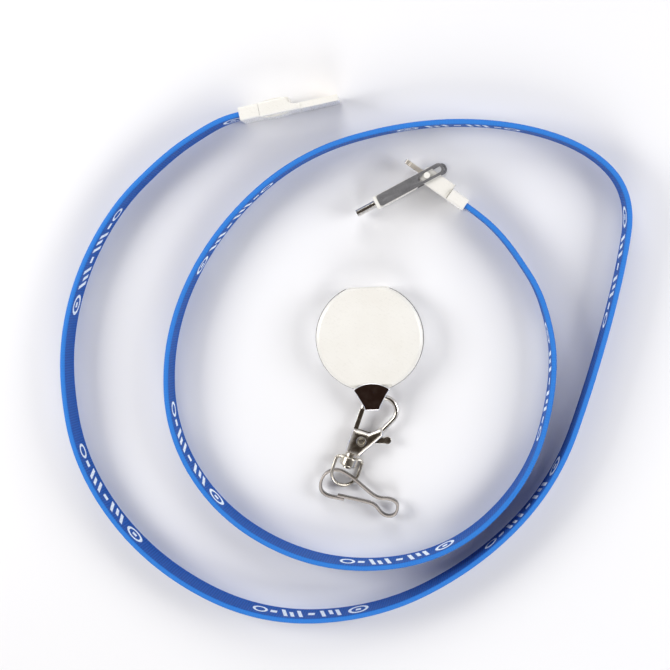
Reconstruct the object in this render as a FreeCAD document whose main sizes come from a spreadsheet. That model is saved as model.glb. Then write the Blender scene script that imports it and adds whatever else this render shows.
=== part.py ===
import FreeCAD, Part
import math
import os

import Sketcher

# A strap lanyard that is also a charging lead: a woven strap with a flat cable inside, a thin
# tongue plug on one end, a blade plug with a swinging adapter arm on the other, and a round dock
# that carries a swivel clasp and a badge hook. Millimetres, +Z up. The strap stands on its edge
# in a spiral; the origin is the middle of the dock's flat back, on the table.

DOC = FreeCAD.newDocument("StrapLanyard")
V = FreeCAD.Vector
Z_AXIS = V(0, 0, 1)

# name: (value, what it is); lengths in millimetres, angles in degrees
SIZES = {
    "strap_width": (12.0, "webbing, edge to edge"),
    "strap_thick": (1.8, "webbing, face to face"),
    "strap_lift": (0.5, "strap's lower edge above the table"),
    "strap_lead": (5.0, "straight run of strap out of each collar"),
    "core_width": (8.0, "flat cable inside the webbing"),
    "core_thick": (0.8, "flat cable inside the webbing"),
    "core_gap": (0.1, "clearance all round the flat cable"),
    "collar_height": (13.0, "both strap collars, standing"),
    "seam_gap": (0.1, "parting line between moulded pieces"),
    "pad_sink": (0.02, "contact pads below the face they sit in"),
    # tongue plug: place, then shape along its own axis
    "plug_x": (-44.7, "rear middle of the tongue plug's collar"),
    "plug_y": (77.0, "rear middle of the tongue plug's collar"),
    "plug_turn": (11.6, "direction the tongue plug points"),
    "plug_collar": (6.9, "collar length"),
    "plug_thick": (5.0, "body thickness"),
    "plug_body": (15.9, "rear to the start of the finger scoop"),
    "scoop_run": (3.6, "length of the finger scoop"),
    "tongue_tip": (34.5, "rear to the tip of the tongue"),
    "tongue_thick": (2.1, "tongue thickness"),
    "tongue_width": (12.0, "tongue width"),
    "plug_pad_long": (8.0, "contact pads on the tongue"),
    "plug_pad_wide": (1.8, "contact pads on the tongue"),
    "plug_pad_pitch": (2.5, "contact pads on the tongue"),
    "pad_depth": (0.25, "pad pocket depth"),
    "grip_radius": (22.0, "thumb pads' curve"),
    "grip_rise": (0.6, "thumb pads above the broad faces"),
    "grip_high": (8.0, "thumb pads, standing"),
    "grip_middle": (12.2, "rear to the middle of the thumb pads"),
    "board_thick": (1.0, "circuit boards in both plugs"),
    "plug_board_long": (8.0, "circuit board in the tongue plug"),
    "plug_board_wide": (10.0, "circuit board in the tongue plug"),
    # blade plug
    "lead_x": (32.8, "rear middle of the blade plug's collar"),
    "lead_y": (45.9, "rear middle of the blade plug's collar"),
    "lead_turn": (145.0, "direction the blade plug points"),
    "lead_collar": (6.6, "collar length"),
    "lead_collar_thick": (4.3, "collar thickness"),
    "head_thick": (5.7, "head thickness"),
    "head_tip": (18.4, "rear to the front of the head"),
    "head_gap": (0.2, "head to each plate of the arm"),
    "blade_tip": (25.6, "rear to the tip of the blade"),
    "blade_root": (3.0, "blade held inside the head"),
    "blade_thick": (1.5, "blade thickness"),
    "blade_width": (6.7, "blade width"),
    "notch_radius": (0.4, "latch notches on the blade's sides"),
    "notch_back": (2.0, "latch notches back from the blade's tip"),
    "blade_pad_long": (3.6, "contact pads on the blade"),
    "blade_pad_wide": (0.42, "contact pads on the blade"),
    "blade_pad_pitch": (0.72, "contact pads on the blade"),
    "blade_pad_depth": (0.12, "contact pads on the blade"),
    "lead_board_long": (7.0, "circuit board in the blade plug"),
    "lead_board_wide": (7.6, "circuit board in the blade plug"),
    # adapter arm, measured from the pivot toward the oval plug
    "pin_along": (16.6, "pivot from the rear of the blade plug"),
    "pin_radius": (1.1, "pivot pins"),
    "pin_clear": (0.05, "running clearance round the pivot pins"),
    "pin_grip": (1.5, "pivot pins inside the head"),
    "arm_turn": (208.1, "direction the adapter arm points"),
    "arm_height": (12.6, "over both plates"),
    "plate_thick": (0.8, "arm plates"),
    "plate_width": (4.0, "arm plates"),
    "plate_front": (18.7, "pivot to the plates' front end"),
    "plate_back": (6.2, "pivot to the top plate's slotted end"),
    "plate_extra": (1.2, "bottom plate beyond the top one"),
    "slot_front": (3.3, "pivot to the slot's front end"),
    "slot_back": (5.4, "pivot to the slot's back end"),
    "arm_near": (4.4, "pivot to the housing's near end"),
    "arm_far": (20.0, "pivot to the housing's far end"),
    "arm_thick": (4.3, "housing thickness"),
    "rivet_radius": (0.45, "plate rivets"),
    "rivet_depth": (1.2, "plate rivets below the plates"),
    "socket_deep": (7.2, "blade socket"),
    "socket_wall": (0.35, "blade socket sleeve"),
    "socket_clear": (0.1, "blade to socket, each side"),
    "oval_width": (8.25, "oval plug shell"),
    "oval_thick": (2.4, "oval plug shell"),
    "oval_wall": (0.3, "oval plug shell"),
    "oval_out": (7.2, "oval plug beyond the housing"),
    "oval_in": (3.0, "oval plug held in the housing"),
    "oval_slot_wide": (6.7, "mouth inside the oval plug"),
    "oval_slot_thick": (1.0, "mouth inside the oval plug"),
    "oval_slot_deep": (5.6, "mouth inside the oval plug"),
    # dock
    "dock_turn": (2.5, "dock about the vertical"),
    "dock_radius": (18.9, "outside of the dock's rim"),
    "rim_wall": (1.2, "rim, radially"),
    "cover_inset": (0.2, "covers inside the rim's outline"),
    "back_thick": (2.0, "back cover's plate"),
    "socket_height": (5.8, "between the two cover plates"),
    "front_thick": (1.4, "front cover's plate at its edge"),
    "dome_rise": (0.7, "front cover's dome above its edge"),
    "skirt_wall": (1.2, "covers' skirts inside the rim"),
    "dock_clear": (0.05, "fit between dock pieces"),
    "mouth_set": (1.5, "flat at the mouth inside the rim's outline"),
    "mouth_width": (12.8, "mouth"),
    "mouth_height": (4.6, "mouth"),
    "mouth_deep": (15.6, "mouth"),
    "mouth_wall": (1.2, "side walls of the mouth block"),
    # bail
    "bail_top": (6.2, "half width of the fan at the dock"),
    "bail_waist": (3.6, "half width of the fan halfway down"),
    "bail_foot": (2.15, "half width of the fan at its foot"),
    "bail_lap": (2.5, "fan over the dock, from the rim's outline"),
    "bail_reach": (6.5, "fan's foot beyond the rim's outline"),
    "bail_sheet": (0.8, "bail sheet"),
    "bail_low": (0.3, "bail above the table"),
    "tang_half": (2.6, "half width of the tang under the dock"),
    "tang_lap": (4.3, "tang under the dock, from the rim's outline"),
    # clasp, about its rivet, +Y toward the ring
    "clasp_x": (-3.0, "rivet"),
    "clasp_hang": (18.2, "rivet below the dock's rim"),
    "clasp_z": (3.4, "middle plane of the clasp"),
    "clasp_turn": (-18.5, "clasp about the vertical"),
    "clasp_thick": (4.0, "clasp body"),
    "ring_wire": (0.95, "radius of the ring's wire"),
    "ring_radius": (4.75, "ring, to the middle of its wire"),
    "ring_x": (3.8, "ring's centre"),
    "ring_y": (12.7, "ring's centre"),
    "gate_x": (-3.3, "line of the gate"),
    "gate_reach": (11.6, "rivet to the gate's tip"),
    "gate_gap": (0.15, "gate's tip to the ring's nose"),
    "gate_wide": (1.7, "gate bar"),
    "gate_thick": (1.7, "gate and thumb lever"),
    "gate_clear": (0.1, "gate to each cheek of the body"),
    "gate_hub": (2.0, "radius of the gate's hub"),
    "lever_long": (9.2, "rivet to the middle of the thumb end"),
    "lever_wide": (2.1, "thumb lever"),
    "lever_end": (1.35, "radius of the thumb end"),
    "lever_turn": (20.4, "direction of the thumb lever"),
    "clasp_pin": (0.8, "rivet shank radius"),
    "clasp_head": (1.75, "rivet head radius"),
    "head_high": (0.4, "rivet head height"),
    "spring_outer": (1.6, "torsion spring radius"),
    "spring_wire": (0.6, "torsion spring, radially"),
    "spring_high": (0.7, "torsion spring height"),
    "neck_end": (5.5, "rivet to the foot of the clasp body"),
    # swivel
    "stud_x": (-1.9, "stud's line beside the rivet"),
    "stud_radius": (1.0, "stud shank"),
    "stud_clear": (0.05, "running clearance round the stud"),
    "stud_seat": (2.0, "stud inside the clasp body"),
    "stud_collar": (2.1, "radius of the stud's collar"),
    "collar_long": (1.1, "stud's collar"),
    "boss_radius": (3.1, "frame's boss"),
    "boss_long": (3.4, "frame's boss"),
    "boss_play": (0.15, "boss between collar and stud end"),
    "stud_end": (1.6, "radius of the peened end"),
    "stud_end_long": (0.7, "peened end"),
    "frame_wire": (0.62, "radius of the frame's wire"),
    "frame_half": (5.35, "half width of the frame, to the wire's middle"),
    "frame_side": (4.9, "straight sides of the frame"),
    "frame_corner": (1.2, "corner radius of the frame"),
    "frame_tilt": (29.5, "frame about the stud"),
    # badge hook
    "hook_thick": (0.9, "hook strip"),
    "hook_high": (3.0, "hook strip"),
    "hook_low": (2.1, "hook strip above the table"),
}

# The strap's route between its two straight ends, from the tongue plug to the blade plug
ROUTE = [
    (-58.5, 71.5), (-72, 62.5), (-91, 44), (-105, 17), (-110, -13), (-104, -49), (-79, -82),
    (-40, -102),
    (3, -99), (39, -79), (65, -50), (77, -13), (86, 24), (89, 49), (75, 65), (47, 74),
    (12, 74), (-26, 63), (-56, 35), (-72, 0), (-71, -37), (-50, -67), (-14, -83), (27, -78),
    (56, -50), (65, -12), (60, 14), (50, 29.5), (43.3, 37.6),
]
ROUTE_ARC = 0.45  # share of the shorter run that an arc takes

# The badge hook's strip about the clasp's rivet, from its free end round both loops, with each
# corner's radius
HOOK = [
    ((-6.0, -21.2), 0), ((-10.6, -20.4), 3.0), ((-14.3, -19.1), 2.0), ((-13.5, -12.1), 3.0),
    ((-6.0, -10.6), 1.6), ((6.0, -20.2), 3.0), ((13.6, -20.0), 2.2), ((12.8, -26.8), 2.4),
    ((7.8, -26.5), 2.0), ((4.8, -22.2), 2.0), ((-8.5, -19.7), 0),
]


class Size:
    """A number together with the expression that gives it in the spreadsheet."""

    def __init__(self, value, text):
        self.value = float(value)
        self.text = text

    def _with(self, other, sign, swap=False):
        other = other if isinstance(other, Size) else Size(other, repr(float(other)))
        left, right = (other, self) if swap else (self, other)
        results = {
            "+": lambda a, b: a + b,
            "-": lambda a, b: a - b,
            "*": lambda a, b: a * b,
            "/": lambda a, b: a / b,
        }
        return Size(results[sign](left.value, right.value), f"({left.text} {sign} {right.text})")

    def __add__(self, other):
        return self._with(other, "+")

    def __radd__(self, other):
        return self._with(other, "+", True)

    def __sub__(self, other):
        return self._with(other, "-")

    def __rsub__(self, other):
        return self._with(other, "-", True)

    def __mul__(self, other):
        return self._with(other, "*")

    def __rmul__(self, other):
        return self._with(other, "*", True)

    def __truediv__(self, other):
        return self._with(other, "/")

    def __neg__(self):
        return 0 - self

    def cos(self):
        return Size(math.cos(math.radians(self.value)), f"cos({self.text})")

    def sin(self):
        return Size(math.sin(math.radians(self.value)), f"sin({self.text})")


class Sheet:
    """The spreadsheet of driving sizes; each size reads as an attribute."""

    def __init__(self, sizes):
        self.table = DOC.addObject("Spreadsheet::Sheet", "Sizes")
        for row, (name, (value, meaning)) in enumerate(sizes.items(), start=1):
            self.table.set(f"A{row}", meaning)
            self.table.set(f"B{row}", str(value))
            self.table.setAlias(f"B{row}", name)
            setattr(self, name, Size(value, f"Sizes.{name}"))


S = Sheet(SIZES)
DOC.recompute()
NODES = {}


def bind(thing, prop, size):
    """Set a property to a number, or tie it to the spreadsheet."""
    if isinstance(size, Size):
        thing.setExpression(prop, size.text)
    elif prop.startswith("Placement.Base."):
        base = thing.Placement.Base
        setattr(base, prop[-1], float(size))
        thing.Placement.Base = base
    else:
        setattr(thing, prop, float(size))


def put(thing, x=0, y=0, z=0):
    for axis, size in zip("xyz", (x, y, z)):
        bind(thing, "Placement.Base." + axis, size)
    return thing


def box(label, x, y, z, long, wide, high):
    """A box from its low corner."""
    thing = DOC.addObject("Part::Box", label)
    for prop, size in (("Length", long), ("Width", wide), ("Height", high)):
        bind(thing, prop, size)
    return put(thing, x, y, z)


def beam(label, x, z, long, wide, high, y=0):
    """A box from its rear face, centred across and up: x, y and z are its middle there."""
    return box(label, x, y - wide / 2, z - high / 2, long, wide, high)


def rod(label, radius, long, x=0, y=0, z=0, along="z"):
    """A cylinder from the middle of its first end, along +Z, +Y or +X."""
    thing = DOC.addObject("Part::Cylinder", label)
    bind(thing, "Radius", radius)
    bind(thing, "Height", long)
    turns = {"z": (Z_AXIS, 0), "y": (V(1, 0, 0), -90), "x": (V(0, 1, 0), 90)}
    thing.Placement.Rotation = FreeCAD.Rotation(*turns[along])
    return put(thing, x, y, z)


def turned(thing, angle):
    """Turn a piece about the vertical through its own base."""
    thing.Placement.Rotation = FreeCAD.Rotation(Z_AXIS, 0)
    bind(thing, "Placement.Rotation.Angle", angle)
    return thing


def cut(label, base, *tools):
    for number, tool in enumerate(tools):
        last = number == len(tools) - 1
        thing = DOC.addObject("Part::Cut", label if last else f"{label}_cut{number}")
        thing.Base, thing.Tool = base, tool
        base = thing
    return base


def fuse(label, *parts):
    thing = DOC.addObject("Part::MultiFuse", label)
    thing.Shapes = list(parts)
    thing.Refine = True
    return thing


def rounded(label, base, radius, chosen):
    """Round the edges of a piece that a test picks."""
    DOC.recompute()
    thing = DOC.addObject("Part::Fillet", label)
    thing.Base = base
    size = radius.value if isinstance(radius, Size) else radius
    picked = [n for n, edge in enumerate(base.Shape.Edges, start=1) if chosen(edge)]
    thing.Edges = [(n, size, size) for n in picked]
    return thing


def runs_along(axis):
    """A test for straight edges that run along X, Y or Z."""
    index = "xyz".index(axis)

    def test(edge):
        if edge.Curve.TypeId != "Part::GeomLine":
            return False
        direction = edge.Curve.Direction
        return abs(abs((direction.x, direction.y, direction.z)[index]) - 1) < 1e-6

    return test


def node(label, thing, frame=None):
    """Name a finished piece and stand it in its group's frame: (x, y, turn)."""
    if thing.TypeId == "Part::Box":
        whole = DOC.addObject("Part::Compound", label + "_whole")
        whole.Links = [thing]
        thing = whole
    thing.Label = label
    if frame:
        x, y, turn = frame
        thing.Placement.Rotation = FreeCAD.Rotation(Z_AXIS, 0)
        put(thing, x, y, 0)
        bind(thing, "Placement.Rotation.Angle", turn)
    NODES[label] = thing
    return thing


def outline(body, label, role, corners):
    """A closed polygon sketch on one of a body's origin planes, each corner tied to sizes."""
    sketch = body.newObject("Sketcher::SketchObject", label)
    plane = [item for item in body.Origin.OriginFeatures if item.Role == role][0]
    sketch.AttachmentSupport = (plane, [""])
    sketch.MapMode = "FlatFace"
    count = len(corners)
    size = [(x if isinstance(x, Size) else Size(x, repr(float(x))),
             y if isinstance(y, Size) else Size(y, repr(float(y)))) for x, y in corners]
    for number in range(count):
        here, there = size[number], size[(number + 1) % count]
        start, end = V(here[0].value, here[1].value, 0), V(there[0].value, there[1].value, 0)
        sketch.addGeometry(Part.LineSegment(start, end), False)
    for number in range(count):
        following = (number + 1) % count
        sketch.addConstraint(Sketcher.Constraint("Coincident", number, 2, following, 1))
    for number, (x, y) in enumerate(size):
        for kind, value in (("DistanceX", x), ("DistanceY", y)):
            index = sketch.addConstraint(
                Sketcher.Constraint(kind, -1, 1, number, 1, value.value))
            sketch.setExpression(f"Constraints[{index}]", value.text)
    DOC.recompute()
    return sketch


def padded(label, role, corners, height, base=0, rounds=()):
    """A PartDesign body: a polygon padded upward, then rounded edge by edge."""
    body = DOC.addObject("PartDesign::Body", label + "_body")
    sketch = outline(body, label + "_sketch", role, corners)
    if isinstance(base, Size):
        sketch.setExpression("AttachmentOffset.Base.z", base.text)
    pad = body.newObject("PartDesign::Pad", label + "_pad")
    pad.Profile = sketch
    bind(pad, "Length", height)
    DOC.recompute()
    for number, (radius, chosen) in enumerate(rounds):
        fillet = body.newObject("PartDesign::Fillet", f"{label}_round{number}")
        tip = pad if number == 0 else body.getObject(f"{label}_round{number - 1}")
        names = [f"Edge{n}" for n, edge in enumerate(tip.Shape.Edges, start=1) if chosen(edge)]
        fillet.Base = (tip, names)
        fillet.Radius = radius
        DOC.recompute()
    return body


def spun(label, corners):
    """A PartDesign body: a polygon in the upright plane spun about the vertical."""
    body = DOC.addObject("PartDesign::Body", label + "_body")
    sketch = outline(body, label + "_sketch", "XZ_Plane", corners)
    spin = body.newObject("PartDesign::Revolution", label + "_spin")
    spin.Profile = sketch
    spin.ReferenceAxis = (sketch, ["V_Axis"])
    spin.Angle = 360
    DOC.recompute()
    return body


# ---------------------------------------------------------------- paths of runs and arcs


def path_edges(points, radii):
    """Straight runs joined by tangent arcs, with one radius for each inner point.

    Returns a list of ("line", start, end) and ("arc", start, middle, end, centre, radius, turn).
    """
    edges, start = [], points[0]
    for number in range(1, len(points) - 1):
        before, here, after = points[number - 1], points[number], points[number + 1]
        way_in, way_out = (here - before).normalize(), (after - here).normalize()
        turn = way_in.getAngle(way_out)
        side = 1 if way_in.cross(way_out).z > 0 else -1
        radius = radii[number - 1]
        reach = radius * math.tan(turn / 2)
        arc_start, arc_end = here - way_in * reach, here + way_out * reach
        centre = arc_start + V(-way_in.y, way_in.x, 0) * radius * side
        middle = centre + (here - centre).normalize() * radius
        edges.append(("line", start, arc_start))
        edges.append(("arc", arc_start, middle, arc_end, centre, radius, side))
        start = arc_end
    edges.append(("line", start, points[-1]))
    return edges


def path_wire(edges):
    """The path itself, as one wire."""
    parts = []
    for edge in edges:
        if edge[0] == "line":
            parts.append(Part.LineSegment(edge[1], edge[2]).toShape())
        else:
            parts.append(Part.Arc(edge[1], edge[2], edge[3]).toShape())
    return Part.Wire(parts)


def path_length(edges):
    return path_wire(edges).Length


def band(edges, thick, low, high):
    """A flat strip of even thickness that stands on edge along a path."""
    sides = []
    for side in (1, -1):
        offset, parts = side * thick / 2, []
        for edge in edges:
            if edge[0] == "line":
                way = (edge[2] - edge[1]).normalize()
                across = V(-way.y, way.x, 0) * offset
                parts.append(Part.LineSegment(edge[1] + across, edge[2] + across).toShape())
            else:
                centre, radius, turn = edge[4], edge[5], edge[6]
                grown = (radius - turn * offset) / radius
                arc = [centre + (spot - centre) * grown for spot in edge[1:4]]
                parts.append(Part.Arc(*arc).toShape())
        sides.append(parts)
    left, right = sides
    caps = [
        Part.LineSegment(right[0].Vertexes[0].Point, left[0].Vertexes[0].Point).toShape(),
        Part.LineSegment(left[-1].Vertexes[-1].Point, right[-1].Vertexes[-1].Point).toShape(),
    ]
    face = Part.Face(Part.Wire(Part.__sortEdges__(left + right + caps)))
    return face.extrude(V(0, 0, high - low)).translated(V(0, 0, low))


def shape_node(label, shape, frame=None):
    """A piece whose shape the geometry kernel makes, with its group's frame as placement."""
    thing = DOC.addObject("Part::Feature", label)
    thing.Shape = shape.removeSplitter()
    thing.Label = label
    if frame:
        x, y, turn = frame
        thing.Placement = FreeCAD.Placement(
            V(x.value, y.value, 0), FreeCAD.Rotation(Z_AXIS, turn.value))
    NODES[label] = thing
    return thing


# ---------------------------------------------------------------- group frames

PLUG = (S.plug_x, S.plug_y, S.plug_turn)
LEAD = (S.lead_x, S.lead_y, S.lead_turn)
HEAD_Y = S.lead_collar_thick / 2 - S.head_thick / 2  # head flush with the collar on one side
PIN_X = S.lead_x + S.pin_along * S.lead_turn.cos() - HEAD_Y * S.lead_turn.sin()
PIN_Y = S.lead_y + S.pin_along * S.lead_turn.sin() + HEAD_Y * S.lead_turn.cos()
ARM = (PIN_X, PIN_Y, S.arm_turn)
DOCK = (Size(0, "0"), Size(0, "0"), S.dock_turn)
MOUTH_FLAT = S.dock_radius - S.mouth_set
BAIL_START = S.dock_radius - S.bail_lap
BAIL_END = S.dock_radius + S.bail_reach
TANG_START = S.dock_radius - S.tang_lap
CLASP_Y = -(S.dock_radius + S.clasp_hang)
CLASP = (S.clasp_x, CLASP_Y, S.clasp_turn)
MIDDLE = S.collar_height / 2
ARM_MIDDLE = S.arm_height / 2


def make_strap():
    """The webbing sleeve and the flat cable inside it."""
    ends = []
    for x, y, turn in (PLUG, LEAD):
        rear = V(x.value, y.value, 0)
        out = V(turn.cos().value, turn.sin().value, 0)
        ends.append((rear, rear - out * S.strap_lead.value))
    points = [ends[0][0], ends[0][1]] + [V(x, y, 0) for x, y in ROUTE] + [ends[1][1], ends[1][0]]
    radii = []
    for before, here, after in zip(points, points[1:], points[2:]):
        turn = (here - before).getAngle(after - here)
        shorter = min((here - before).Length, (after - here).Length)
        radii.append(ROUTE_ARC * shorter / math.tan(turn / 2))
    print("strap radii, mm:", ", ".join(f"{radius:.0f}" for radius in radii))
    edges = path_edges(points, radii)
    low, width = S.strap_lift.value, S.strap_width.value
    outer = band(edges, S.strap_thick.value, low, low + width)
    middle = low + width / 2
    gap = S.core_gap.value
    half = S.core_width.value / 2
    thick = S.core_thick.value
    channel = band(edges, thick + 2 * gap, middle - half - gap, middle + half + gap)
    core = band(edges, thick, middle - half, middle + half)
    shape_node("strap_webbing", outer.cut(channel))
    shape_node("cable_core", core)
    length = path_length(edges)
    print(f"strap length {length:.1f} mm; webbing volume {outer.Volume:.0f} mm3, "
          f"section times length {length * width * S.strap_thick.value:.0f} mm3")


def make_tongue_plug():
    """Collar, housing with its tongue, contact pads and board, along +X from the collar's rear."""
    half = S.plug_thick / 2
    collar = beam("plug_collar_blank", 0, MIDDLE, S.plug_collar, S.plug_thick - 0.3,
                  S.collar_height)
    node("tongue_collar", rounded("plug_collar_round", collar, 0.9, runs_along("x")), PLUG)

    front = S.plug_collar + S.seam_gap
    low_side, tongue_side = -half, S.tongue_thick - half
    scoop_end = S.plug_body + S.scoop_run
    corners = [
        (front, low_side), (scoop_end + 1.5, low_side), (scoop_end + 1.5, tongue_side),
        (scoop_end, tongue_side), (S.plug_body, half), (front, half),
    ]
    blank = padded("plug_body", "XY_Plane", corners, S.collar_height)
    DOC.recompute()
    soft = rounded("plug_body_soft", blank, 0.8, runs_along("x"))
    hollow_radius = S.scoop_run
    scoop = rod("plug_scoop", hollow_radius, S.collar_height,
                scoop_end + 0.4, tongue_side + hollow_radius, 0)
    tongue_low = MIDDLE - S.tongue_width / 2
    tongue = box("plug_tongue_blank", S.plug_body, low_side, tongue_low,
                 S.tongue_tip - S.plug_body, S.tongue_thick, S.tongue_width)
    tip = S.tongue_tip.value
    tongue = rounded("plug_tongue_round", tongue, 0.6,
                     lambda edge: abs(edge.CenterOfMass.x - tip) < 0.01)
    grips = []
    for side in (-1, 1):
        curve = rod("plug_grip_curve", S.grip_radius, S.grip_high, S.grip_middle,
                    side * (half + S.grip_rise - S.grip_radius), MIDDLE - S.grip_high / 2)
        room = beam("plug_grip_room", front, MIDDLE, 2 * (S.grip_middle - front), S.grip_high,
                    S.grip_high, y=side * S.grip_high / 2)
        grip = DOC.addObject("Part::Common", "plug_grip")
        grip.Base, grip.Tool = curve, room
        grips.append(grip)
    shell = fuse("plug_shell", cut("plug_scooped", soft, scoop), tongue, *grips)

    pad_from = S.tongue_tip - 1.6 - S.plug_pad_long
    pockets, pads = [], []
    for place in (-1.5, -0.5, 0.5, 1.5):
        low = MIDDLE + place * S.plug_pad_pitch - S.plug_pad_wide / 2
        floor = tongue_side - S.pad_depth
        pockets.append(box("plug_pocket", pad_from, floor, low, S.plug_pad_long, S.pad_depth + 1,
                           S.plug_pad_wide))
        pads.append(box("plug_pad", pad_from, floor, low, S.plug_pad_long,
                        S.pad_depth - S.pad_sink, S.plug_pad_wide))
    board_room = beam("plug_board_room", front - 1, MIDDLE, S.plug_board_long + 1.2,
                      S.board_thick + 0.6, S.plug_board_wide + 0.4)
    node("tongue_housing", cut("plug_housing", shell, *pockets, board_room), PLUG)
    node("tongue_contacts", fuse("plug_pads", *pads), PLUG)
    board = beam("plug_board", front, MIDDLE, S.plug_board_long, S.board_thick,
                 S.plug_board_wide, y=-0.3)
    node("tongue_board", board, PLUG)


def blade_contact_boxes(label, grow, deep):
    """Boxes for the contact pads on both faces of the blade."""
    boxes = []
    low_x = S.blade_tip - 0.9 - S.blade_pad_long
    for side in (-1, 1):
        face = HEAD_Y + side * S.blade_thick / 2
        start = face - deep if side > 0 else face - grow
        for place in range(8):
            low = ARM_MIDDLE + (place - 3.5) * S.blade_pad_pitch - S.blade_pad_wide / 2
            boxes.append(box(label, low_x, start, low, S.blade_pad_long, deep + grow,
                             S.blade_pad_wide))
    return boxes


def make_blade_plug():
    """Collar, head, metal blade, its contact pads and the board, along +X from the rear."""
    collar = beam("lead_collar_blank", 0, MIDDLE, S.lead_collar, S.lead_collar_thick,
                  S.collar_height)
    node("blade_collar", rounded("lead_collar_round", collar, 0.9, runs_along("x")), LEAD)

    front = S.lead_collar + S.seam_gap
    low = S.plate_thick + S.head_gap
    high = S.arm_height - low
    half = S.head_thick / 2
    corners = [(front, HEAD_Y - half), (S.head_tip, HEAD_Y - half), (S.head_tip, HEAD_Y + half),
               (front, HEAD_Y + half)]
    blank = padded("lead_head", "XY_Plane", corners, high - low, base=low)
    nose = S.head_tip.value
    soft = rounded("lead_head_nose", blank, 1.2,
                   lambda edge: runs_along("z")(edge)
                   and abs(edge.CenterOfMass.x - nose) < 0.01)
    soft = rounded("lead_head_soft", soft, 0.5, lambda edge: abs(edge.CenterOfMass.z - low.value)
                   < 0.01 or abs(edge.CenterOfMass.z - high.value) < 0.01)
    wells = [rod("lead_pin_well", S.pin_radius + S.pin_clear, S.pin_grip + 0.1,
                 S.pin_along, HEAD_Y, start) for start in (low - 0.05, high - S.pin_grip - 0.05)]
    blade_from = S.head_tip - S.blade_root
    blade = beam("lead_blade_blank", blade_from, ARM_MIDDLE, S.blade_tip - blade_from,
                 S.blade_thick, S.blade_width, y=HEAD_Y)
    tip = S.blade_tip.value
    blade = rounded("lead_blade_round", blade, 0.7, lambda edge: runs_along("y")(edge)
                    and abs(edge.CenterOfMass.x - tip) < 0.01)
    room = beam("lead_blade_room", blade_from, ARM_MIDDLE, S.blade_root + 1, S.blade_thick,
                S.blade_width, y=HEAD_Y)
    board_room = beam("lead_board_room", front - 1, ARM_MIDDLE, S.lead_board_long + 1.2,
                      S.board_thick + 0.6, S.lead_board_wide + 0.4, y=HEAD_Y)
    node("blade_head", cut("lead_head_cut", soft, *wells, room, board_room), LEAD)

    notches = [rod("lead_notch", S.notch_radius, S.blade_thick + 1, S.blade_tip - S.notch_back,
                   HEAD_Y - S.blade_thick / 2 - 0.5, ARM_MIDDLE + side * S.blade_width / 2,
                   along="y") for side in (-1, 1)]
    pockets = blade_contact_boxes("lead_pocket", 1.0, S.blade_pad_depth)
    node("blade_tab", cut("lead_blade_cut", blade, *notches, *pockets), LEAD)
    pads = blade_contact_boxes("lead_pad", -S.pad_sink, S.blade_pad_depth)
    node("blade_contacts", fuse("lead_pads", *pads), LEAD)
    board = beam("lead_board", front, ARM_MIDDLE, S.lead_board_long, S.board_thick,
                 S.lead_board_wide, y=HEAD_Y - 0.3)
    node("blade_board", board, LEAD)


def obround(label, x, z, long, wide, thick):
    """A bar along +X whose cross-section stands up and has fully round ends."""
    blank = beam(label + "_blank", x, z, long, thick, wide)
    return rounded(label, blank, thick.value / 2 - 0.001, runs_along("x"))


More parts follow.
